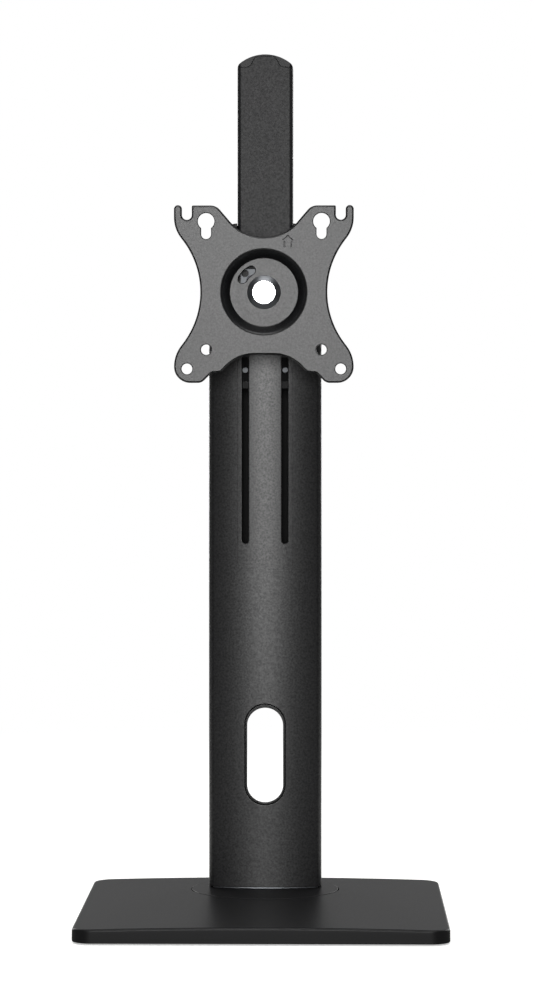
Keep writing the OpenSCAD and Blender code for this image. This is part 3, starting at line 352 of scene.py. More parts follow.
# A disc's edge, and a round hole, which runs clockwise so that the material is on its left
def discPoints(centre, radius, steps):
    return arcPoints(centre, radius, 0, 360, steps)[:-1]


def holePoints(centre, radius, steps=48):
    return arcPoints(centre, radius, 360, 0, steps)[:-1]


# An upright slot hole with round ends
def slotPoints(x, halfWidth, low, high, steps=20):
    upper = arcPoints((x, high - halfWidth), halfWidth, 180, 0, steps)
    return upper + arcPoints((x, low + halfWidth), halfWidth, 0, -180, steps)


# A loop from its corners (x, z, radius)
def roundedLoop(corners, steps=10):
    points = []
    for i, (x, z, radius) in enumerate(corners):
        here = Vector((x, z))
        if radius == 0:
            points.append((x, z))
            continue
        before = (Vector(corners[i - 1][:2]) - here).normalized()
        after = (Vector(corners[(i + 1) % len(corners)][:2]) - here).normalized()
        half = before.angle(after) / 2
        middle = here + (before + after).normalized() * radius / math.sin(half)
        start = here + before * radius / math.tan(half) - middle
        end = here + after * radius / math.tan(half) - middle
        first = math.degrees(math.atan2(start.y, start.x))
        turn = math.degrees(math.atan2(start.x * end.y - start.y * end.x, start.dot(end)))
        points += arcPoints(middle, radius, first, first + turn, steps)
    return points


# A box about the origin with round corners
def boxLoop(halfWidth, halfHeight, radius, steps=10):
    signs = ((-1, -1), (1, -1), (1, 1), (-1, 1))
    return roundedLoop([(x * halfWidth, z * halfHeight, radius) for x, z in signs], steps)


def mirroredCorners(corners):
    return [(-x, z, radius) for x, z, radius in reversed(corners)]


def withoutDoubles(points):
    return [point for i, point in enumerate(points)
            if (Vector(point) - Vector(points[i - 1])).length > 2 * mergeGap]


def insetLoop(points, inset):
    moved = []
    for i, point in enumerate(points):
        here = Vector(point)
        arriving = (here - Vector(points[i - 1])).normalized()
        leaving = (Vector(points[(i + 1) % len(points)]) - here).normalized()
        side = Vector((-arriving.y, arriving.x))
        left = (side + Vector((-leaving.y, leaving.x))).normalized()
        moved.append(here + left * (inset / max(mitreLimit, left.dot(side))))
    return moved


# The section of a sheet's border, as (inset, depth) steps round a softened edge
def softEdge(radius, steps=4):
    turns = [math.pi / 2 * i / steps for i in range(steps + 1)]
    return [(radius * (1 - math.sin(turn)), radius * (1 - math.cos(turn))) for turn in turns]


def sheetRim(radius, thickness):
    front = softEdge(radius)
    return front + [(inset, thickness - depth) for inset, depth in reversed(front)]


# The border of a countersunk hole: a broken edge, a cone down to the shank, and the shank's bore
def countersunkRim(spec, thickness):
    sunk, edge = spec["screwHead"] - spec["screwShank"], spec["screwEdge"]
    return [(edge, 0), (0, edge), (-sunk, sunk), (-sunk, thickness)]


# Adds a sheet to a flat working mesh. Its X and Z are the outline's and its Y is the depth behind the face.
# A loop without a rim is left open, for the next surface to join
def addSheet(work, loops, thickness, shift=0.0):
    borders = ([], [])
    for points, rim in loops:
        points = withoutDoubles(points)
        rings = []
        for inset, depth in rim or [(0, 0), (0, thickness)]:
            rings.append([work.verts.new((at.x, depth + shift, at.y)) for at in insetLoop(points, inset)])
        for ring, border in zip((rings[0], rings[-1]), borders):
            border += [work.edges.new((ring[i - 1], ring[i])) for i in range(len(ring))]
        if rim:
            for near, far in zip(rings, rings[1:]):
                for i in range(len(near)):
                    work.faces.new((near[i - 1], near[i], far[i], far[i - 1]))
    for border in borders:
        bmesh.ops.triangle_fill(work, use_beauty=True, use_dissolve=False, edges=border)


# Adds a surface of revolution about the depth axis, from points (radius, depth)
def addTurned(work, section, steps=128, closed=True):
    turns = [2 * math.pi * i / steps for i in range(steps)]
    ways = [(math.cos(turn), math.sin(turn)) for turn in turns]
    rings = []
    for radius, depth in section:
        rings.append([work.verts.new((radius * x, depth, radius * z)) for x, z in ways])
    pairs = zip(rings, rings[1:] + rings[:1]) if closed else zip(rings, rings[1:])
    for near, far in pairs:
        for i in range(steps):
            work.faces.new((near[i - 1], near[i], far[i], far[i - 1]))


def cutAcross(work, axis, places):
    for place in places:
        normal = Vector((0, 0, 0))
        normal[axis] = 1
        everything = work.verts[:] + work.edges[:] + work.faces[:]
        bmesh.ops.bisect_plane(work, geom=everything, dist=slack, plane_co=normal * place, plane_no=normal)


def evenSteps(low, high, count):
    return [low + (high - low) * i / count for i in range(count + 1)]


# One normal for each face corner: large faces win, so that flats stay flat beside their soft edges
def cornerNormals(work):
    work.faces.index_update()
    weight = [face.calc_area() ** 2 + leastWeight for face in work.faces]
    normals = []
    for face in work.faces:
        for loop in face.loops:
            total = Vector()
            for other in loop.vert.link_faces:
                if other.normal.dot(face.normal) > joinLevel:
                    total += other.normal * weight[other.index]
            normals.append(total.normalized())
    return normals


# Adds a mesh that rides as a CAD node does and, unless it only adds to the node, stands for it
def addPiece(mesh, name, node, stands=True):
    piece = addObject(name, mesh)
    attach(piece, bodyOf[node])
    if stands:
        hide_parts(node)
    return piece


def meshFrom(work, name):
    mesh = bpy.data.meshes.new(name)
    work.to_mesh(mesh)
    work.free()
    return mesh


# The mesh of an object after its modifiers; the object itself is removed
def takeResult(holder):
    mesh = bpy.data.meshes.new_from_object(holder.evaluated_get(bpy.context.evaluated_depsgraph_get()))
    bpy.data.objects.remove(holder)
    return mesh


# Turns a working mesh into a piece. The placer takes a flat point to its place in mm, and says how its normal
# turns
def finishPiece(work, node, placer):
    bmesh.ops.remove_doubles(work, verts=work.verts, dist=mergeGap)
    bmesh.ops.recalc_face_normals(work, faces=work.faces)
    work.normal_update()
    work.verts.index_update()
    places = [placer(*vertex.co) for vertex in work.verts]
    corners = [loop.vert.index for face in work.faces for loop in face.loops]
    normals = [places[index][1] @ normal for index, normal in zip(corners, cornerNormals(work))]
    for vertex in work.verts:
        vertex.co = places[vertex.index][0] * mm
    mesh = meshFrom(work, node + "_shaped")
    mesh.shade_smooth()
    mesh.normals_split_custom_set(normals)
    mesh.materials.append(finish[finishOfNode[node]])
    return addPiece(mesh, node + "_shaped", node)


# Gives a second finish to the faces that a test chooses
def refinish(piece, finishName, isChosen):
    piece.data.materials.append(finish[finishName])
    for face in piece.data.polygons:
        if isChosen(face):
            face.material_index = 1


unturned = Matrix.Identity(3)
laidFlat = Matrix.Rotation(-math.pi / 2, 3, "X")


# Places a flat sheet upright, with its face at a depth and its origin at a height
def uprightPlacer(y, z):
    return lambda a, depth, b: (Vector((a, y + depth, b + z)), unturned)


# A sheet's way round a bend, seen from above: lines between two points, and arcs by centre, radius and angles
def partLength(part):
    if part[0] == "line":
        return (Vector(part[2]) - Vector(part[1])).length
    return math.radians(part[4] - part[3]) * part[2]


def alongTrack(track, across):
    rest = across + sum(partLength(part) for part in track) / 2
    for part in track:
        length = partLength(part)
        if rest <= length + leastStep or part is track[-1]:
            break
        rest -= length
    if part[0] == "line":
        way = (Vector(part[2]) - Vector(part[1])).normalized()
        return Vector(part[1]) + way * rest, math.atan2(way.y, way.x)
    turn = math.radians(part[3]) + rest / part[2]
    return Vector(part[1]) + part[2] * Vector((math.cos(turn), math.sin(turn))), turn + math.pi / 2


def bentPlacer(track):
    def placer(a, depth, b):
        at, heading = alongTrack(track, a)
        x = at.x - math.sin(heading) * depth
        y = at.y + math.cos(heading) * depth
        return Vector((x, y, b)), Matrix.Rotation(heading, 3, "Z")
    return placer


# Where a bent sheet is cut so that it can bend: the ends of each part, and steps within the arcs
def bendCuts(track, degrees):
    cuts = []
    start = -sum(partLength(part) for part in track) / 2
    for part in track:
        end = start + partLength(part)
        count = max(1, math.ceil((part[4] - part[3]) / degrees)) if part[0] == "arc" else 1
        cuts += evenSteps(start, end, count)[1:]
        start = end
    return cuts[:-1]


def trackPoints(track, depth, degrees):
    start = -sum(partLength(part) for part in track) / 2
    points = []
    for across in [start] + bendCuts(track, degrees):
        place, turn = bentPlacer(track)(across, depth, 0)
        points.append((place.x, place.y))
    return points


def lowest(node, axis):
    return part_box(node)[0][axis] / mm


def highest(node, axis):
    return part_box(node)[1][axis] / mm


# Base cover: a crowned top that turns down into a skirt, open round the turntable
print("stage: base")
coverSpec = {"width": 235, "depth": 224, "corner": 12, "crown": 1.8, "wall": 2.2, "topEdge": 1.5,
             "rimEdge": 0.3, "crownDepth": 3.0, "swivelY": 59, "openingRadius": 49.3, "crownedRing": 5,
             "collarWall": 1.6, "collarDepth": 3.9, "collarEdge": 0.3}


def buildBaseCover(spec):
    top = highest("base_cover", 2)
    rim = lowest("base_cover", 2)
    skirt = top - spec["crown"] - rim
    half, wall = spec["width"] / 2, spec["wall"]
    crownRadius = (half ** 2 + spec["crown"] ** 2) / (2 * spec["crown"])

    # The top and a ring about the opening follow the crown, and the skirt ends on a level
    def placer(a, depth, b):
        fall = crownRadius - math.sqrt(crownRadius ** 2 - min(a * a, crownRadius ** 2))
        inRing = math.hypot(a, b - spec["swivelY"]) < spec["openingRadius"] + spec["crownedRing"]
        crowned = depth <= spec["crownDepth"] + slack or inRing
        height = top - fall - depth if crowned else rim + skirt - depth
        turn = math.asin(a / crownRadius) if depth < spec["crownDepth"] - slack else 0
        return Vector((a, b, height)), Matrix.Rotation(turn, 3, "Y") @ laidFlat

    outline = boxLoop(half, spec["depth"] / 2, spec["corner"], 16)
    skirtRim = softEdge(spec["topEdge"], 5) + [
        (0, spec["crownDepth"]), (0, skirt - spec["rimEdge"]), (spec["rimEdge"], skirt), (wall, skirt),
        (wall, spec["crownDepth"]), (wall, wall)]
    collarRim = softEdge(spec["collarEdge"], 3) + [
        (0, spec["collarDepth"]), (spec["collarWall"], spec["collarDepth"]), (spec["collarWall"], wall)]
    opening = holePoints((0, spec["swivelY"]), spec["openingRadius"], 160)
    work = bmesh.new()
    addSheet(work, [(outline, skirtRim), (opening, collarRim)], wall)
    cutAcross(work, 0, evenSteps(-half, half, 36)[1:-1])
    finishPiece(work, "base_cover", placer)


buildBaseCover(coverSpec)

# Column: an extruded shell bent from a flat pattern, and a moulded cover behind it
print("stage: column")
columnSpec = {"width": 75.4, "frontY": 55, "frontRadius": 120, "corner": 5, "jointY": 82, "rearY": 96,
              "rearCorner": 14, "topRadius": 20, "wall": 2.6, "rearWall": 2.4, "seam": 0.2, "edge": 0.5,
              "slotAt": 13.3, "slotHalf": 2.15, "slotBottom": 241.8, "notchBottom": 376, "notchHalf": 18.9,
              "notchCorner": 0.6, "cornerReach": 20, "trackHalf": 18.5, "trackBottom": 225, "trackDepth": 0.5,
              "trackStep": 0.06, "openingHalf": 13.55, "openingLow": 67.2, "openingHigh": 134.8,
              "bendStep": 0.9}


# The column's outside as seen from above, run anticlockwise: shell and rear cover
def columnTracks(spec):
    half, corner, radius = spec["width"] / 2, spec["corner"], spec["frontRadius"]
    middle = half - corner
    centreY = spec["frontY"] + radius
    cornerY = centreY - math.sqrt((radius - corner) ** 2 - middle ** 2)
    turn = math.degrees(math.asin(middle / (radius - corner)))
    shell = [("line", (-half, spec["jointY"]), (-half, cornerY)),
             ("arc", (-middle, cornerY), corner, 180, 270 - turn),
             ("arc", (0, centreY), radius, 270 - turn, 270 + turn),
             ("arc", (middle, cornerY), corner, 270 + turn, 360),
             ("line", (half, cornerY), (half, spec["jointY"]))]
    rear = spec["rearCorner"]
    rearX, rearMiddleY = half - rear, spec["rearY"] - rear
    start = math.degrees(math.asin(spec["seam"] / rear))
    cover = [("arc", (rearX, rearMiddleY), rear, start, 90),
             ("line", (rearX, spec["rearY"]), (-rearX, spec["rearY"])),
             ("arc", (-rearX, rearMiddleY), rear, 90, 180 - start)]
    return shell, cover


shellTrack, coverTrack = columnTracks(columnSpec)


# The height of the column's top at a distance round its track
def topHeight(spec, track, across):
    top = highest("column_shell", 2)
    out = abs(alongTrack(track, across)[0].x) - (spec["width"] / 2 - spec["topRadius"])
    if out <= 0:
        return top
    return top - spec["topRadius"] + math.sqrt(max(0, spec["topRadius"] ** 2 - out ** 2))


# How far round the column's front a point at x lies
def roundFront(spec, x):
    return spec["frontRadius"] * math.asin(x / spec["frontRadius"])


def buildColumnShell(spec):
    bottom = lowest("column_shell", 2)
    end = sum(partLength(part) for part in shellTrack) / 2
    side = end - partLength(shellTrack[0])
    outer, inner = (roundFront(spec, spec["slotAt"] + sign * spec["slotHalf"]) for sign in (1, -1))
    notch = roundFront(spec, spec["notchHalf"])
    ledge, corner, reach = spec["notchBottom"], spec["notchCorner"], spec["cornerReach"]
    slotFoot = ((outer + inner) / 2, spec["slotBottom"] + spec["slotHalf"])
    crest = [(across, topHeight(spec, shellTrack, across)) for across in evenSteps(side, notch, 40)]
    right = [(end, bottom), (end, crest[0][1])] + crest
    right += roundedLoop([
        (notch, ledge + reach, 0), (notch, ledge, corner), (outer, ledge, corner), (outer, ledge - reach, 0)])
    right += arcPoints(slotFoot, (outer - inner) / 2, 0, -180, 20)
    right += roundedLoop([(inner, ledge - reach, 0), (inner, ledge, corner), (0, ledge, 0)])[:-1]
    outline = right + [(-x, z) for x, z in reversed(right)]
    rim = sheetRim(spec["edge"], spec["wall"])
    opening = slotPoints(0, spec["openingHalf"], spec["openingLow"], spec["openingHigh"], 32)
    work = bmesh.new()
    addSheet(work, [(outline, rim), (opening, rim)], spec["wall"])
    trackEdges = [spec["trackHalf"] - spec["trackStep"], spec["trackHalf"]]
    cutAcross(work, 0, bendCuts(shellTrack, spec["bendStep"]) + trackEdges + [-edge for edge in trackEdges])
    cutAcross(work, 2, [spec["trackBottom"], spec["trackBottom"] + spec["trackStep"]])
    trackStart = spec["trackBottom"] + spec["trackStep"] / 2
    for vertex in work.verts:
        inTrack = abs(vertex.co.x) < trackEdges[0] + mergeGap and vertex.co.z > trackStart
        if inTrack and vertex.co.y < spec["edge"] + mergeGap:
            vertex.co.y += spec["trackDepth"]
    finishPiece(work, "column_shell", bentPlacer(shellTrack))


buildColumnShell(columnSpec)

rearSpec = {"holeHalf": 14.35, "holeLow": 63.05, "holeHigh": 135.15, "screwZs": (30.95, 440),
            "screwHead": 3.05, "screwShank": 1.55, "screwEdge": 0.1, "bendStep": 5, "insideFacing": 0.3}


def buildRearCover(spec):
    bottom = lowest("rear_cover", 2)
    end = sum(partLength(part) for part in coverTrack) / 2
    crest = [(across, topHeight(columnSpec, coverTrack, across)) for across in evenSteps(end, -end, 80)]
    outline = [(-end, bottom), (end, bottom)] + crest
    thickness = columnSpec["rearWall"]
    rim = sheetRim(columnSpec["edge"], thickness)
    screwRim = countersunkRim(spec, thickness)
    loops = [(outline, rim), (slotPoints(0, spec["holeHalf"], spec["holeLow"], spec["holeHigh"], 32), rim)]
    loops += [(holePoints((0, z), spec["screwHead"], 32), screwRim) for z in spec["screwZs"]]
    work = bmesh.new()
    addSheet(work, loops, thickness)
    cutAcross(work, 0, bendCuts(coverTrack, spec["bendStep"]))
    piece = finishPiece(work, "rear_cover", bentPlacer(coverTrack))
    # Faces that look into the column get the darker finish, as painted shade seen through the slots
    refinish(piece, "paintedShadeInside", lambda face: face.normal.y < -spec["insideFacing"])


buildRearCover(rearSpec)

# Turntable: a disc with a soft edge, open under the column
discSpec = {"radius": 48.8, "edge": 0.4, "skirt": 2.45, "skirtWall": 1.2, "windowInset": 2.4,
            "windowSteps": (4, 8)}


def buildTurntable(spec):
    top = highest("turntable_cap", 2)
    thickness = top - highest("turntable_plate", 2)
    centre = (0, coverSpec["swivelY"])
    outline = discPoints(centre, spec["radius"], 192)
    rim = softEdge(spec["edge"]) + [
        (0, spec["skirt"]), (spec["skirtWall"], spec["skirt"]), (spec["skirtWall"], thickness)]
    window = []
    for track, step in zip((shellTrack, coverTrack), spec["windowSteps"]):
        window += trackPoints(track, spec["windowInset"], step)
    work = bmesh.new()
    addSheet(work, [(outline, rim), (window[::-1], [(0, 0), (0, thickness)])], thickness)
    finishPiece(work, "turntable_cap", lambda a, depth, b: (Vector((a, b, top - depth)), laidFlat))


buildTurntable(discSpec)

# Arm: steel folded to a channel, with a shouldered tongue at its top
print("stage: arm")
armSpec = {"width": 37, "frontY": 61.5, "rearY": 86, "bend": 2.7, "bendStep": 9, "thickness": 2.5,
           "edge": 0.4, "shoulderDrop": 8.5, "tongueHalf": 6.5, "tongueSlope": 4, "tongueDrop": 1.2,
           "tongueRadii": (3.4, 3), "pinY": 76, "pinZ": 545, "pinHole": 4.05, "shadeEnd": 4.7}


def buildArm(spec):
    half, bend, front = spec["width"] / 2, spec["bend"], spec["frontY"]
    track = [("line", (-half, spec["rearY"]), (-half, front + bend)),
             ("arc", (bend - half, front + bend), bend, 180, 270),
             ("line", (bend - half, front), (half - bend, front)),
             ("arc", (half - bend, front + bend), bend, 270, 360),
             ("line", (half, front + bend), (half, spec["rearY"]))]
    end = sum(partLength(part) for part in track) / 2
    bottom = lowest("arm_channel", 2)
    top = highest("arm_cap", 2)
    shoulder = top - spec["shoulderDrop"]
    right = [(end, bottom, 0), (end, shoulder, 0),
             (spec["tongueHalf"] + spec["tongueSlope"], shoulder, spec["tongueRadii"][0]),
             (spec["tongueHalf"], top - spec["tongueDrop"], spec["tongueRadii"][1])]
    outline = roundedLoop(right + mirroredCorners(right))
    rim = sheetRim(spec["edge"], spec["thickness"])
    pinAcross = end - (spec["rearY"] - spec["pinY"])
    pinHoles = [(holePoints((x, spec["pinZ"]), spec["pinHole"]), rim) for x in (-pinAcross, pinAcross)]
    # Below this height the arm gets the darker finish, as painted shade
    shadeTop = bottom + spec["shadeEnd"]
    work = bmesh.new()
    addSheet(work, [(outline, rim)] + pinHoles, spec["thickness"])
    cutAcross(work, 0, bendCuts(track, spec["bendStep"]))
    cutAcross(work, 2, [shadeTop])
    piece = finishPiece(work, "arm_channel", bentPlacer(track))
    refinish(piece, "paintedShadeArmEnd", lambda face: face.center.z < shadeTop * mm)


buildArm(armSpec)

# Screen plate: one pressed sheet with a dish in its middle. Sizes are in mm from the plate's centre
print("stage: screen plate")
plateSpec = {
    "y": 5, "z": 407.5, "thickness": 2.4, "edge": 0.6, "large": 50, "small": 37.5,
    # The outline: arch and steps below, lobes, waist, horns and hooks, ledges, and the dip above
    "archHalf": 17, "archRise": 0.6, "archRadius": 25, "stepAt": 28.2, "stepDrop": 15, "stepRadius": 6,
    "chamferInset": 9.5, "chamferCut": 2.5, "chamferRadii": (3, 6), "rim": 8.4, "lobeDrop": 9.1,
    "lobeRadius": 10.5, "waist": 41.3, "waistRadius": 55, "waistInset": 17, "waistBlend": 22,
    "hornRise": 6.3, "hornRadius": 2.55, "hookRadius": 3.2, "ledgeDrop": 0.2, "ledgeEnd": 2,
    "ledgeRadii": (0.8, 8), "dip": 35.5, "dipRadius": 29, "dipInset": 6,
    "rolled": [(1.15, 0), (1.0, 0.03), (0.55, 0.32), (0.2, 0.72), (0, 1.2), (0.2, 1.68), (0.55, 2.08),
               (1.0, 2.37), (1.15, 2.4)],
    # The holes, and the dish with its one thickness
    "keyRadius": 5.4, "keyRise": 8.3, "outerHole": 3.5, "innerHole": 3.35, "lockRadius": 16.5,
    "lockHalf": 2.75, "lockEnds": (120.6, 148.4), "pivotHole": 7.3, "dishDepth": 7.5,
    "dishFace": [(30.9, 0, 0), (27.2, 0, 2.7), (22.5, 7.5, 0.9), (21.6, 7.5, 0)],
    "dishBack": [(30.9, 2.4, 0), (28.9, 2.4, 0.3), (24.4, 9.9, 1.2), (21.6, 9.9, 0)],
}


def plateOutline(spec):
    large, hook, waistRadius = spec["large"], spec["hookRadius"], spec["waistRadius"]
    side, lobe = large + spec["rim"], -large - spec["lobeDrop"]
    chamfer, chamferX = spec["lobeDrop"] - spec["chamferCut"], large - spec["chamferInset"]
    step, low = -spec["small"] - spec["stepDrop"], spec["archRise"] - spec["waist"]
    waistHalf = large - spec["waistInset"]
    waistTurn = math.degrees(math.asin(waistHalf / waistRadius))
    waistEnd = spec["waist"] + waistRadius * (1 - math.cos(math.radians(waistTurn)))
    sideZ = waistHalf + (side - waistEnd) / math.tan(math.radians(waistTurn))
    top, blend, hornRadius = large + spec["hornRise"], spec["waistBlend"], spec["hornRadius"]
    dipTurn = math.degrees(math.asin((spec["dipRadius"] - spec["dipInset"]) / spec["dipRadius"]))
    lower = [(spec["archHalf"], low, spec["archRadius"]), (spec["stepAt"], step, spec["stepRadius"]),
             (chamferX - chamfer, step, spec["chamferRadii"][0]), (chamferX, lobe, spec["chamferRadii"][1]),
             (side, lobe, spec["lobeRadius"]), (side, -sideZ, blend)]
    horn = [(side, sideZ, blend), (side, top, hornRadius), (large + hook, top, hornRadius)]
    ledge = [(large - hook, top - spec["ledgeDrop"], spec["ledgeRadii"][0]),
             (spec["dipRadius"] + spec["ledgeEnd"], top - spec["ledgeDrop"], spec["ledgeRadii"][1])]
    waist = arcPoints((spec["waist"] + waistRadius, 0), waistRadius, 180 + waistTurn, 180 - waistTurn, 60)
    notch = arcPoints((large, large), hook, 0, -180, 24)
    dip = arcPoints((0, spec["dip"] + spec["dipRadius"]), spec["dipRadius"], dipTurn - 90, -90, 40)
    waist, notch, dip = ([(x, z, 0) for x, z in points] for points in (waist, notch, dip))
    right = lower + waist + horn + notch + ledge + dip
    return roundedLoop(right + mirroredCorners(right), 12)


def keyholePoints(spec, x):
    half, big = spec["hookRadius"], spec["keyRadius"]
    centre = (x, spec["small"] + spec["keyRise"])
    mouth = math.degrees(math.asin(half / big))
    seat = arcPoints((x, spec["small"]), half, 180, 360, 20)
    return (seat + arcPoints(centre, big, mouth - 90, 270 - mouth, 40))[::-1]


def lockSlotPoints(spec):
    start, end = spec["lockEnds"]
    radius, half = spec["lockRadius"], spec["lockHalf"]

    def at(angle):
        return radius * math.cos(math.radians(angle)), radius * math.sin(math.radians(angle))
    points = arcPoints((0, 0), radius + half, start, end, 16) + arcPoints(at(end), half, end, end + 180, 14)
    points += arcPoints((0, 0), radius - half, end, start, 16)
    points += arcPoints(at(start), half, start + 180, start + 360, 14)
    return points[::-1]


def buildPlate(spec):
    thickness, depth = spec["thickness"], spec["dishDepth"]
    rim = sheetRim(spec["edge"], thickness)
    loops = [(plateOutline(spec), spec["rolled"]), (holePoints((0, 0), spec["dishFace"][0][0], 128), None)]
    for sign in (-1, 1):
        loops.append((holePoints((sign * spec["large"], -spec["large"]), spec["outerHole"]), rim))
        loops.append((holePoints((sign * spec["small"], -spec["small"]), spec["innerHole"]), rim))
        loops.append((keyholePoints(spec, sign * spec["small"]), rim))
    work = bmesh.new()
    addSheet(work, loops, thickness)
    for section in (spec["dishFace"], spec["dishBack"]):
        addTurned(work, withoutDoubles(roundedLoop(section, 8)), 128, closed=False)
    floorEdge = discPoints((0, 0), spec["dishFace"][-1][0], 128)
    pivotHole = holePoints((0, 0), spec["pivotHole"], 64)
    addSheet(work, [(floorEdge, None), (lockSlotPoints(spec), rim), (pivotHole, rim)], thickness, shift=depth)
    finishPiece(work, "vesa_plate", uprightPlacer(spec["y"], spec["z"]))


buildPlate(plateSpec)

# An arrow raised from the plate shows which way up it goes
arrowSpec = {"at": (15.6, 33.5), "halfWidth": 3.9, "rise": 3.6, "stroke": 1.0, "stemAt": 2.2, "stemLow": -4.6,
             "stemHigh": -0.6, "relief": 0.3}


def buildArrow(spec):
    x, z = spec["at"]
    half, rise, stroke = spec["halfWidth"], spec["rise"], spec["stroke"]
    head = [(x - half, z), (x - half + stroke, z), (x, z + rise - stroke), (x + half - stroke, z),
            (x + half, z), (x, z + rise)]
    stems = [[(x + side - stroke / 2, z + spec["stemLow"]), (x + side + stroke / 2, z + spec["stemLow"]),
              (x + side + stroke / 2, z + spec["stemHigh"]), (x + side - stroke / 2, z + spec["stemHigh"])]
             for side in (-spec["stemAt"], spec["stemAt"])]
    relief = spec["relief"]
    rim = [(relief, 0), (0, relief), (0, 2 * relief)]
    work = bmesh.new()
    for loop in [head] + stems:
        addSheet(work, [(loop, rim)], 2 * relief)
    bmesh.ops.recalc_face_normals(work, faces=work.faces)
    for vertex in work.verts:
        place = Vector((vertex.co.x, plateSpec["y"] - relief + vertex.co.y, plateSpec["z"] + vertex.co.z))
        vertex.co = place * mm
    mesh = meshFrom(work, "plate_arrow")
    mesh.materials.append(finish[finishOfNode["vesa_plate"]])
    addPiece(mesh, "plate_arrow", "vesa_plate", stands=False)


buildArrow(arrowSpec)

# Pivot: the end of a turned tube with a shallow cup in its face, in a coned ring, and the tube's square
# flange behind
pivotSpec = {"tube": [(0, 10.5), (5.5, 10.48), (7.2, 10.34), (7.4, 10.3), (7.5, 10.35), (7.55, 10.45),
                      (7.55, 10.7), (7.25, 11), (7.25, 18.9), (5.35, 18.9), (5.35, 12.75), (0, 12.75)],
             "ring": [(7.65, 10.4), (7.7, 10.2), (7.85, 10.1), (10.8, 12.1), (10.95, 12.3), (10.95, 12.45),
                      (7.3, 12.45), (7.3, 11.1), (7.65, 10.75)],
             "flangeY": 15.95, "flangeHalf": 15.4, "flangeCorner": 3.4, "flangeThickness": 3,
             "flangeHole": 7.2, "flangeEdge": 0.4, "holeEdge": 0.05, "margin": 0.1, "tubeReach": 7.3,
             "lockAt": 12.4, "lockHole": 2.2, "screwAt": 8.3, "screwHead": 3.05, "screwShank": 1.65,
             "screwEdge": 0.1}


def buildPivot(spec):
    place = uprightPlacer(0, plateSpec["z"])
    work = bmesh.new()
    addTurned(work, spec["ring"])
    finishPiece(work, "pivot_washer", place)
    thickness, half = spec["flangeThickness"], spec["flangeHalf"]
    screwRim, rim = countersunkRim(spec, thickness), sheetRim(spec["flangeEdge"], thickness)
    loops = [(boxLoop(half, half, spec["flangeCorner"]), rim),
             (holePoints((0, 0), spec["flangeHole"]), sheetRim(spec["holeEdge"], thickness)),
             (holePoints((-spec["lockAt"], spec["lockAt"]), spec["lockHole"]), rim)]
    loops += [(holePoints((x * spec["screwAt"], z * spec["screwAt"]), spec["screwHead"]), screwRim)
              for x in (-1, 1) for z in (-1, 1)]
    work = bmesh.new()
    addTurned(work, spec["tube"])
    addSheet(work, loops, thickness, shift=spec["flangeY"])
    piece = finishPiece(work, "pivot_flange", place)
    middle = Vector((0, plateSpec["z"] * mm))

    def isFlange(face):
        reach = max((piece.data.vertices[i].co.xz - middle).length for i in face.vertices)
        behind = face.center.y > (spec["flangeY"] - spec["margin"]) * mm
        return behind and reach > spec["tubeReach"] * mm
    # The flange behind the tube gets the dull zinc, whose darker grey is partly painted shade
    refinish(piece, "dullZincAndShade", isFlange)


buildPivot(pivotSpec)

# Other pieces keep their CAD shape, with their edges broken by so many mm
print("stage: pieces with broken edges")
brokenSpec = {
    "flatAngle": 0.5, "segments": 3,
    "radii": {"column_cap": 0.4, "cable_liner": 0.35, "arm_cap": 0.3, "head_bracket": 0.5,
              "tilt_block": 0.5, "ballast_plate": 0.3, "tilt_bolt": 0.3, "tilt_nut": 0.25,
              "arm_glides": 0.2, "gas_cylinder": 0.4},
}


# A copy of a CAD node, merged, its flat faces made whole and its corners rounded
def buildBroken(node, radius, spec):
    work = bmesh.new()
    work.from_mesh(nodes[node].data)
    bmesh.ops.remove_doubles(work, verts=work.verts, dist=mergeGap * mm)
    flat = math.radians(spec["flatAngle"])
    bmesh.ops.dissolve_limit(work, angle_limit=flat, verts=work.verts, edges=work.edges)
    rough = addObject(node + "_rough", meshFrom(work, node + "_rough"))
    bevel = rough.modifiers.new("edges", "BEVEL")
    bevel.width = radius * mm
    bevel.segments = spec["segments"]
    bevel.limit_method = "ANGLE"
    bevel.angle_limit = sharpAngle
    bevel.use_clamp_overlap = True
    softened = bmesh.new()
    softened.from_mesh(takeResult(rough))
    for vertex in softened.verts:
        vertex.co /= mm
    finishPiece(softened, node, lambda x, y, z: (Vector((x, y, z)), unturned))


for nodeName, radius in brokenSpec["radii"].items():
    buildBroken(nodeName, radius, brokenSpec)

# Screws and feet. One tree makes them all: a head with a chamfer, a shank, and a recess in the head
print("stage: screws and feet")
fastenerKeys = ("facing", "head", "neck", "shank", "recess", "headDepth", "chamfer", "recessDepth", "sides")
# The way that the head faces, four radii, three depths and the sides of the recess
fastenerRows = {
    "base_screws": ("down", 5.6, 5.6, 1.5, 2.0, 1.0, 0.25, 0.7, 6),
    "rubber_feet": ("down", 6.0, 6.0, 4.0, 3.4, 1.9, 0.4, 0.55, 32),
    "retainer_screws": ("down", 2.8, 1.6, 1.5, 1.2, 1.3, 0.05, 0.8, 6),
    "column_screws": ("down", 3.45, 1.95, 1.85, 1.5, 1.6, 0.05, 1.0, 6),
    "cover_screws": ("back", 2.9, 1.6, 1.5, 1.2, 1.4, 0.05, 0.9, 6),
    "glide_screws": ("front", 1.9, 1.9, 1.2, 0.95, 1.2, 0.2, 0.7, 6),
    "spring_bracket_screws": ("back", 2.8, 2.8, 1.5, 1.4, 1.8, 0.3, 1.0, 6),
    "head_screws": ("back", 3.4, 3.4, 2.0, 1.6, 2.0, 0.4, 1.2, 6),
    "flange_screws": ("front", 3.0, 1.7, 1.6, 1.3, 1.4, 0.05, 0.9, 6),
}
fastenerInputs = fastenerKeys[1:] + ("length", "turn", "finish")


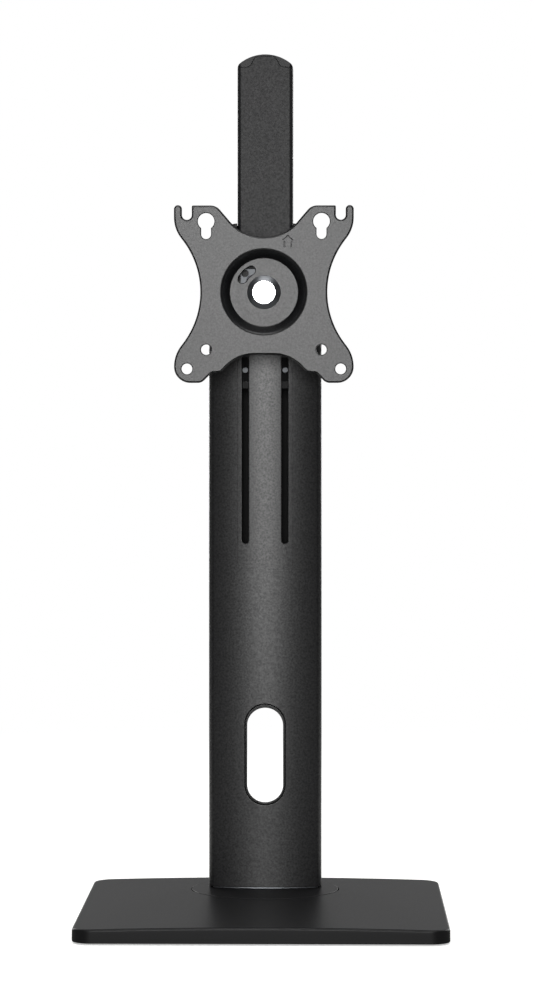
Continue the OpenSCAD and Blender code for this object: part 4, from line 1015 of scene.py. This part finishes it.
def fastenerTree():
    tree = bpy.data.node_groups.new("fastener", "GeometryNodeTree")
    kinds = {"sides": "NodeSocketInt", "turn": "NodeSocketVector", "finish": "NodeSocketMaterial"}
    tree.interface.new_socket("Geometry", in_out="INPUT", socket_type="NodeSocketGeometry")
    for key in fastenerInputs:
        tree.interface.new_socket(key, in_out="INPUT", socket_type=kinds.get(key, "NodeSocketFloat"))
    tree.interface.new_socket("Geometry", in_out="OUTPUT", socket_type="NodeSocketGeometry")
    given = addNode(tree, "NodeGroupInput").outputs

    def cone(bottomRadius, topRadius, low, depth, sides=32):
        solid = addNode(tree, "GeometryNodeMeshCone", {
            "Vertices": sides, "Radius Top": topRadius, "Radius Bottom": bottomRadius, "Depth": depth})
        lift = addNode(tree, "ShaderNodeCombineXYZ", {"Z": low})
        return addNode(tree, "GeometryNodeTransform", {
            "Geometry": solid.outputs["Mesh"], "Translation": lift.outputs[0]}).outputs[0]

    # The shank starts halfway into the head. The cutter of the recess stands out as far as it goes in
    size = {key: given[key] for key in fastenerInputs}
    for name, operation, first, second in (
            ("rim", "SUBTRACT", "head", "chamfer"), ("lowerDepth", "SUBTRACT", "headDepth", "chamfer"),
            ("shankLow", "MULTIPLY", "headDepth", 0.5), ("shankDepth", "SUBTRACT", "length", "shankLow"),
            ("cutLow", "MULTIPLY", "recessDepth", -1.0), ("cutDepth", "MULTIPLY", "recessDepth", 2.0)):
        size[name] = addNode(tree, "ShaderNodeMath", {
            0: size[first], 1: size.get(second, second)}, operation=operation).outputs[0]
    chamfer = cone(size["rim"], size["head"], 0.0, size["chamfer"])
    head = cone(size["head"], size["neck"], size["chamfer"], size["lowerDepth"])
    shank = cone(size["shank"], size["shank"], size["shankLow"], size["shankDepth"])
    recess = cone(size["recess"], size["recess"], size["cutLow"], size["cutDepth"], size["sides"])
    whole = addNode(tree, "GeometryNodeMeshBoolean", operation="UNION")
    for solid in (chamfer, head, shank):
        tree.links.new(solid, whole.inputs["Mesh 2"])
    cut = addNode(tree, "GeometryNodeMeshBoolean", {"Mesh 1": whole.outputs[0], "Mesh 2": recess},
                  operation="DIFFERENCE")
    placed = addNode(tree, "GeometryNodeInstanceOnPoints", {
        "Points": given["Geometry"], "Instance": cut.outputs[0], "Rotation": size["turn"]})
    real = addNode(tree, "GeometryNodeRealizeInstances", {0: placed.outputs[0]})
    coated = addNode(tree, "GeometryNodeSetMaterial", {
        "Geometry": real.outputs[0], "Material": size["finish"]})
    addNode(tree, "NodeGroupOutput", {0: coated.outputs[0]})
    return tree


# The box of each separate solid in a CAD node
def solidBoxes(node):
    work = bmesh.new()
    work.from_mesh(nodes[node].data)
    bmesh.ops.remove_doubles(work, verts=work.verts, dist=mergeGap * mm)
    boxes, seen = [], set()
    for start in work.verts:
        if start in seen:
            continue
        seen.add(start)
        reached, waiting = [], [start]
        while waiting:
            vertex = waiting.pop()
            reached.append(vertex.co.copy())
            nextOnes = {edge.other_vert(vertex) for edge in vertex.link_edges} - seen
            seen |= nextOnes
            waiting += nextOnes
        boxes.append([[pick(at[axis] for at in reached) for axis in range(3)] for pick in (min, max)])
    work.free()
    return boxes


# For each way that a screw's head may face: the axis, the end of the box that the head is at, and the turn
facings = {"down": (2, 0, (0, 0, 0)), "front": (1, 0, (-math.pi / 2, 0, 0)),
           "back": (1, 1, (math.pi / 2, 0, 0))}
screwTree = fastenerTree()
socketOf = {item.name: item.identifier for item in screwTree.interface.items_tree if item.in_out == "INPUT"}


def buildFasteners(node, spec):
    axis, end, turn = facings[spec["facing"]]
    boxes = solidBoxes(node)
    seats = [[box[end][i] if i == axis else (box[0][i] + box[1][i]) / 2 for i in range(3)] for box in boxes]
    seedMesh = bpy.data.meshes.new(node + "_seats")
    seedMesh.from_pydata(seats, [], [])
    seed = addObject(node + "_seats", seedMesh)
    modifier = seed.modifiers.new("fastener", "NODES")
    modifier.node_group = screwTree
    values = {key: spec[key] * mm for key in fastenerKeys[1:-1]}
    values["length"] = min(box[1][axis] - box[0][axis] for box in boxes)
    values.update(sides=spec["sides"], turn=turn, finish=finish[finishOfNode[node]])
    for key in fastenerInputs:
        modifier[socketOf[key]] = values[key]
    mesh = takeResult(seed)
    mesh.name = node + "_shaped"
    mesh.shade_smooth()
    mesh.set_sharp_from_angle(angle=sharpAngle)
    addPiece(mesh, node + "_shaped", node)


for nodeName, row in fastenerRows.items():
    buildFasteners(nodeName, dict(zip(fastenerKeys, row)))
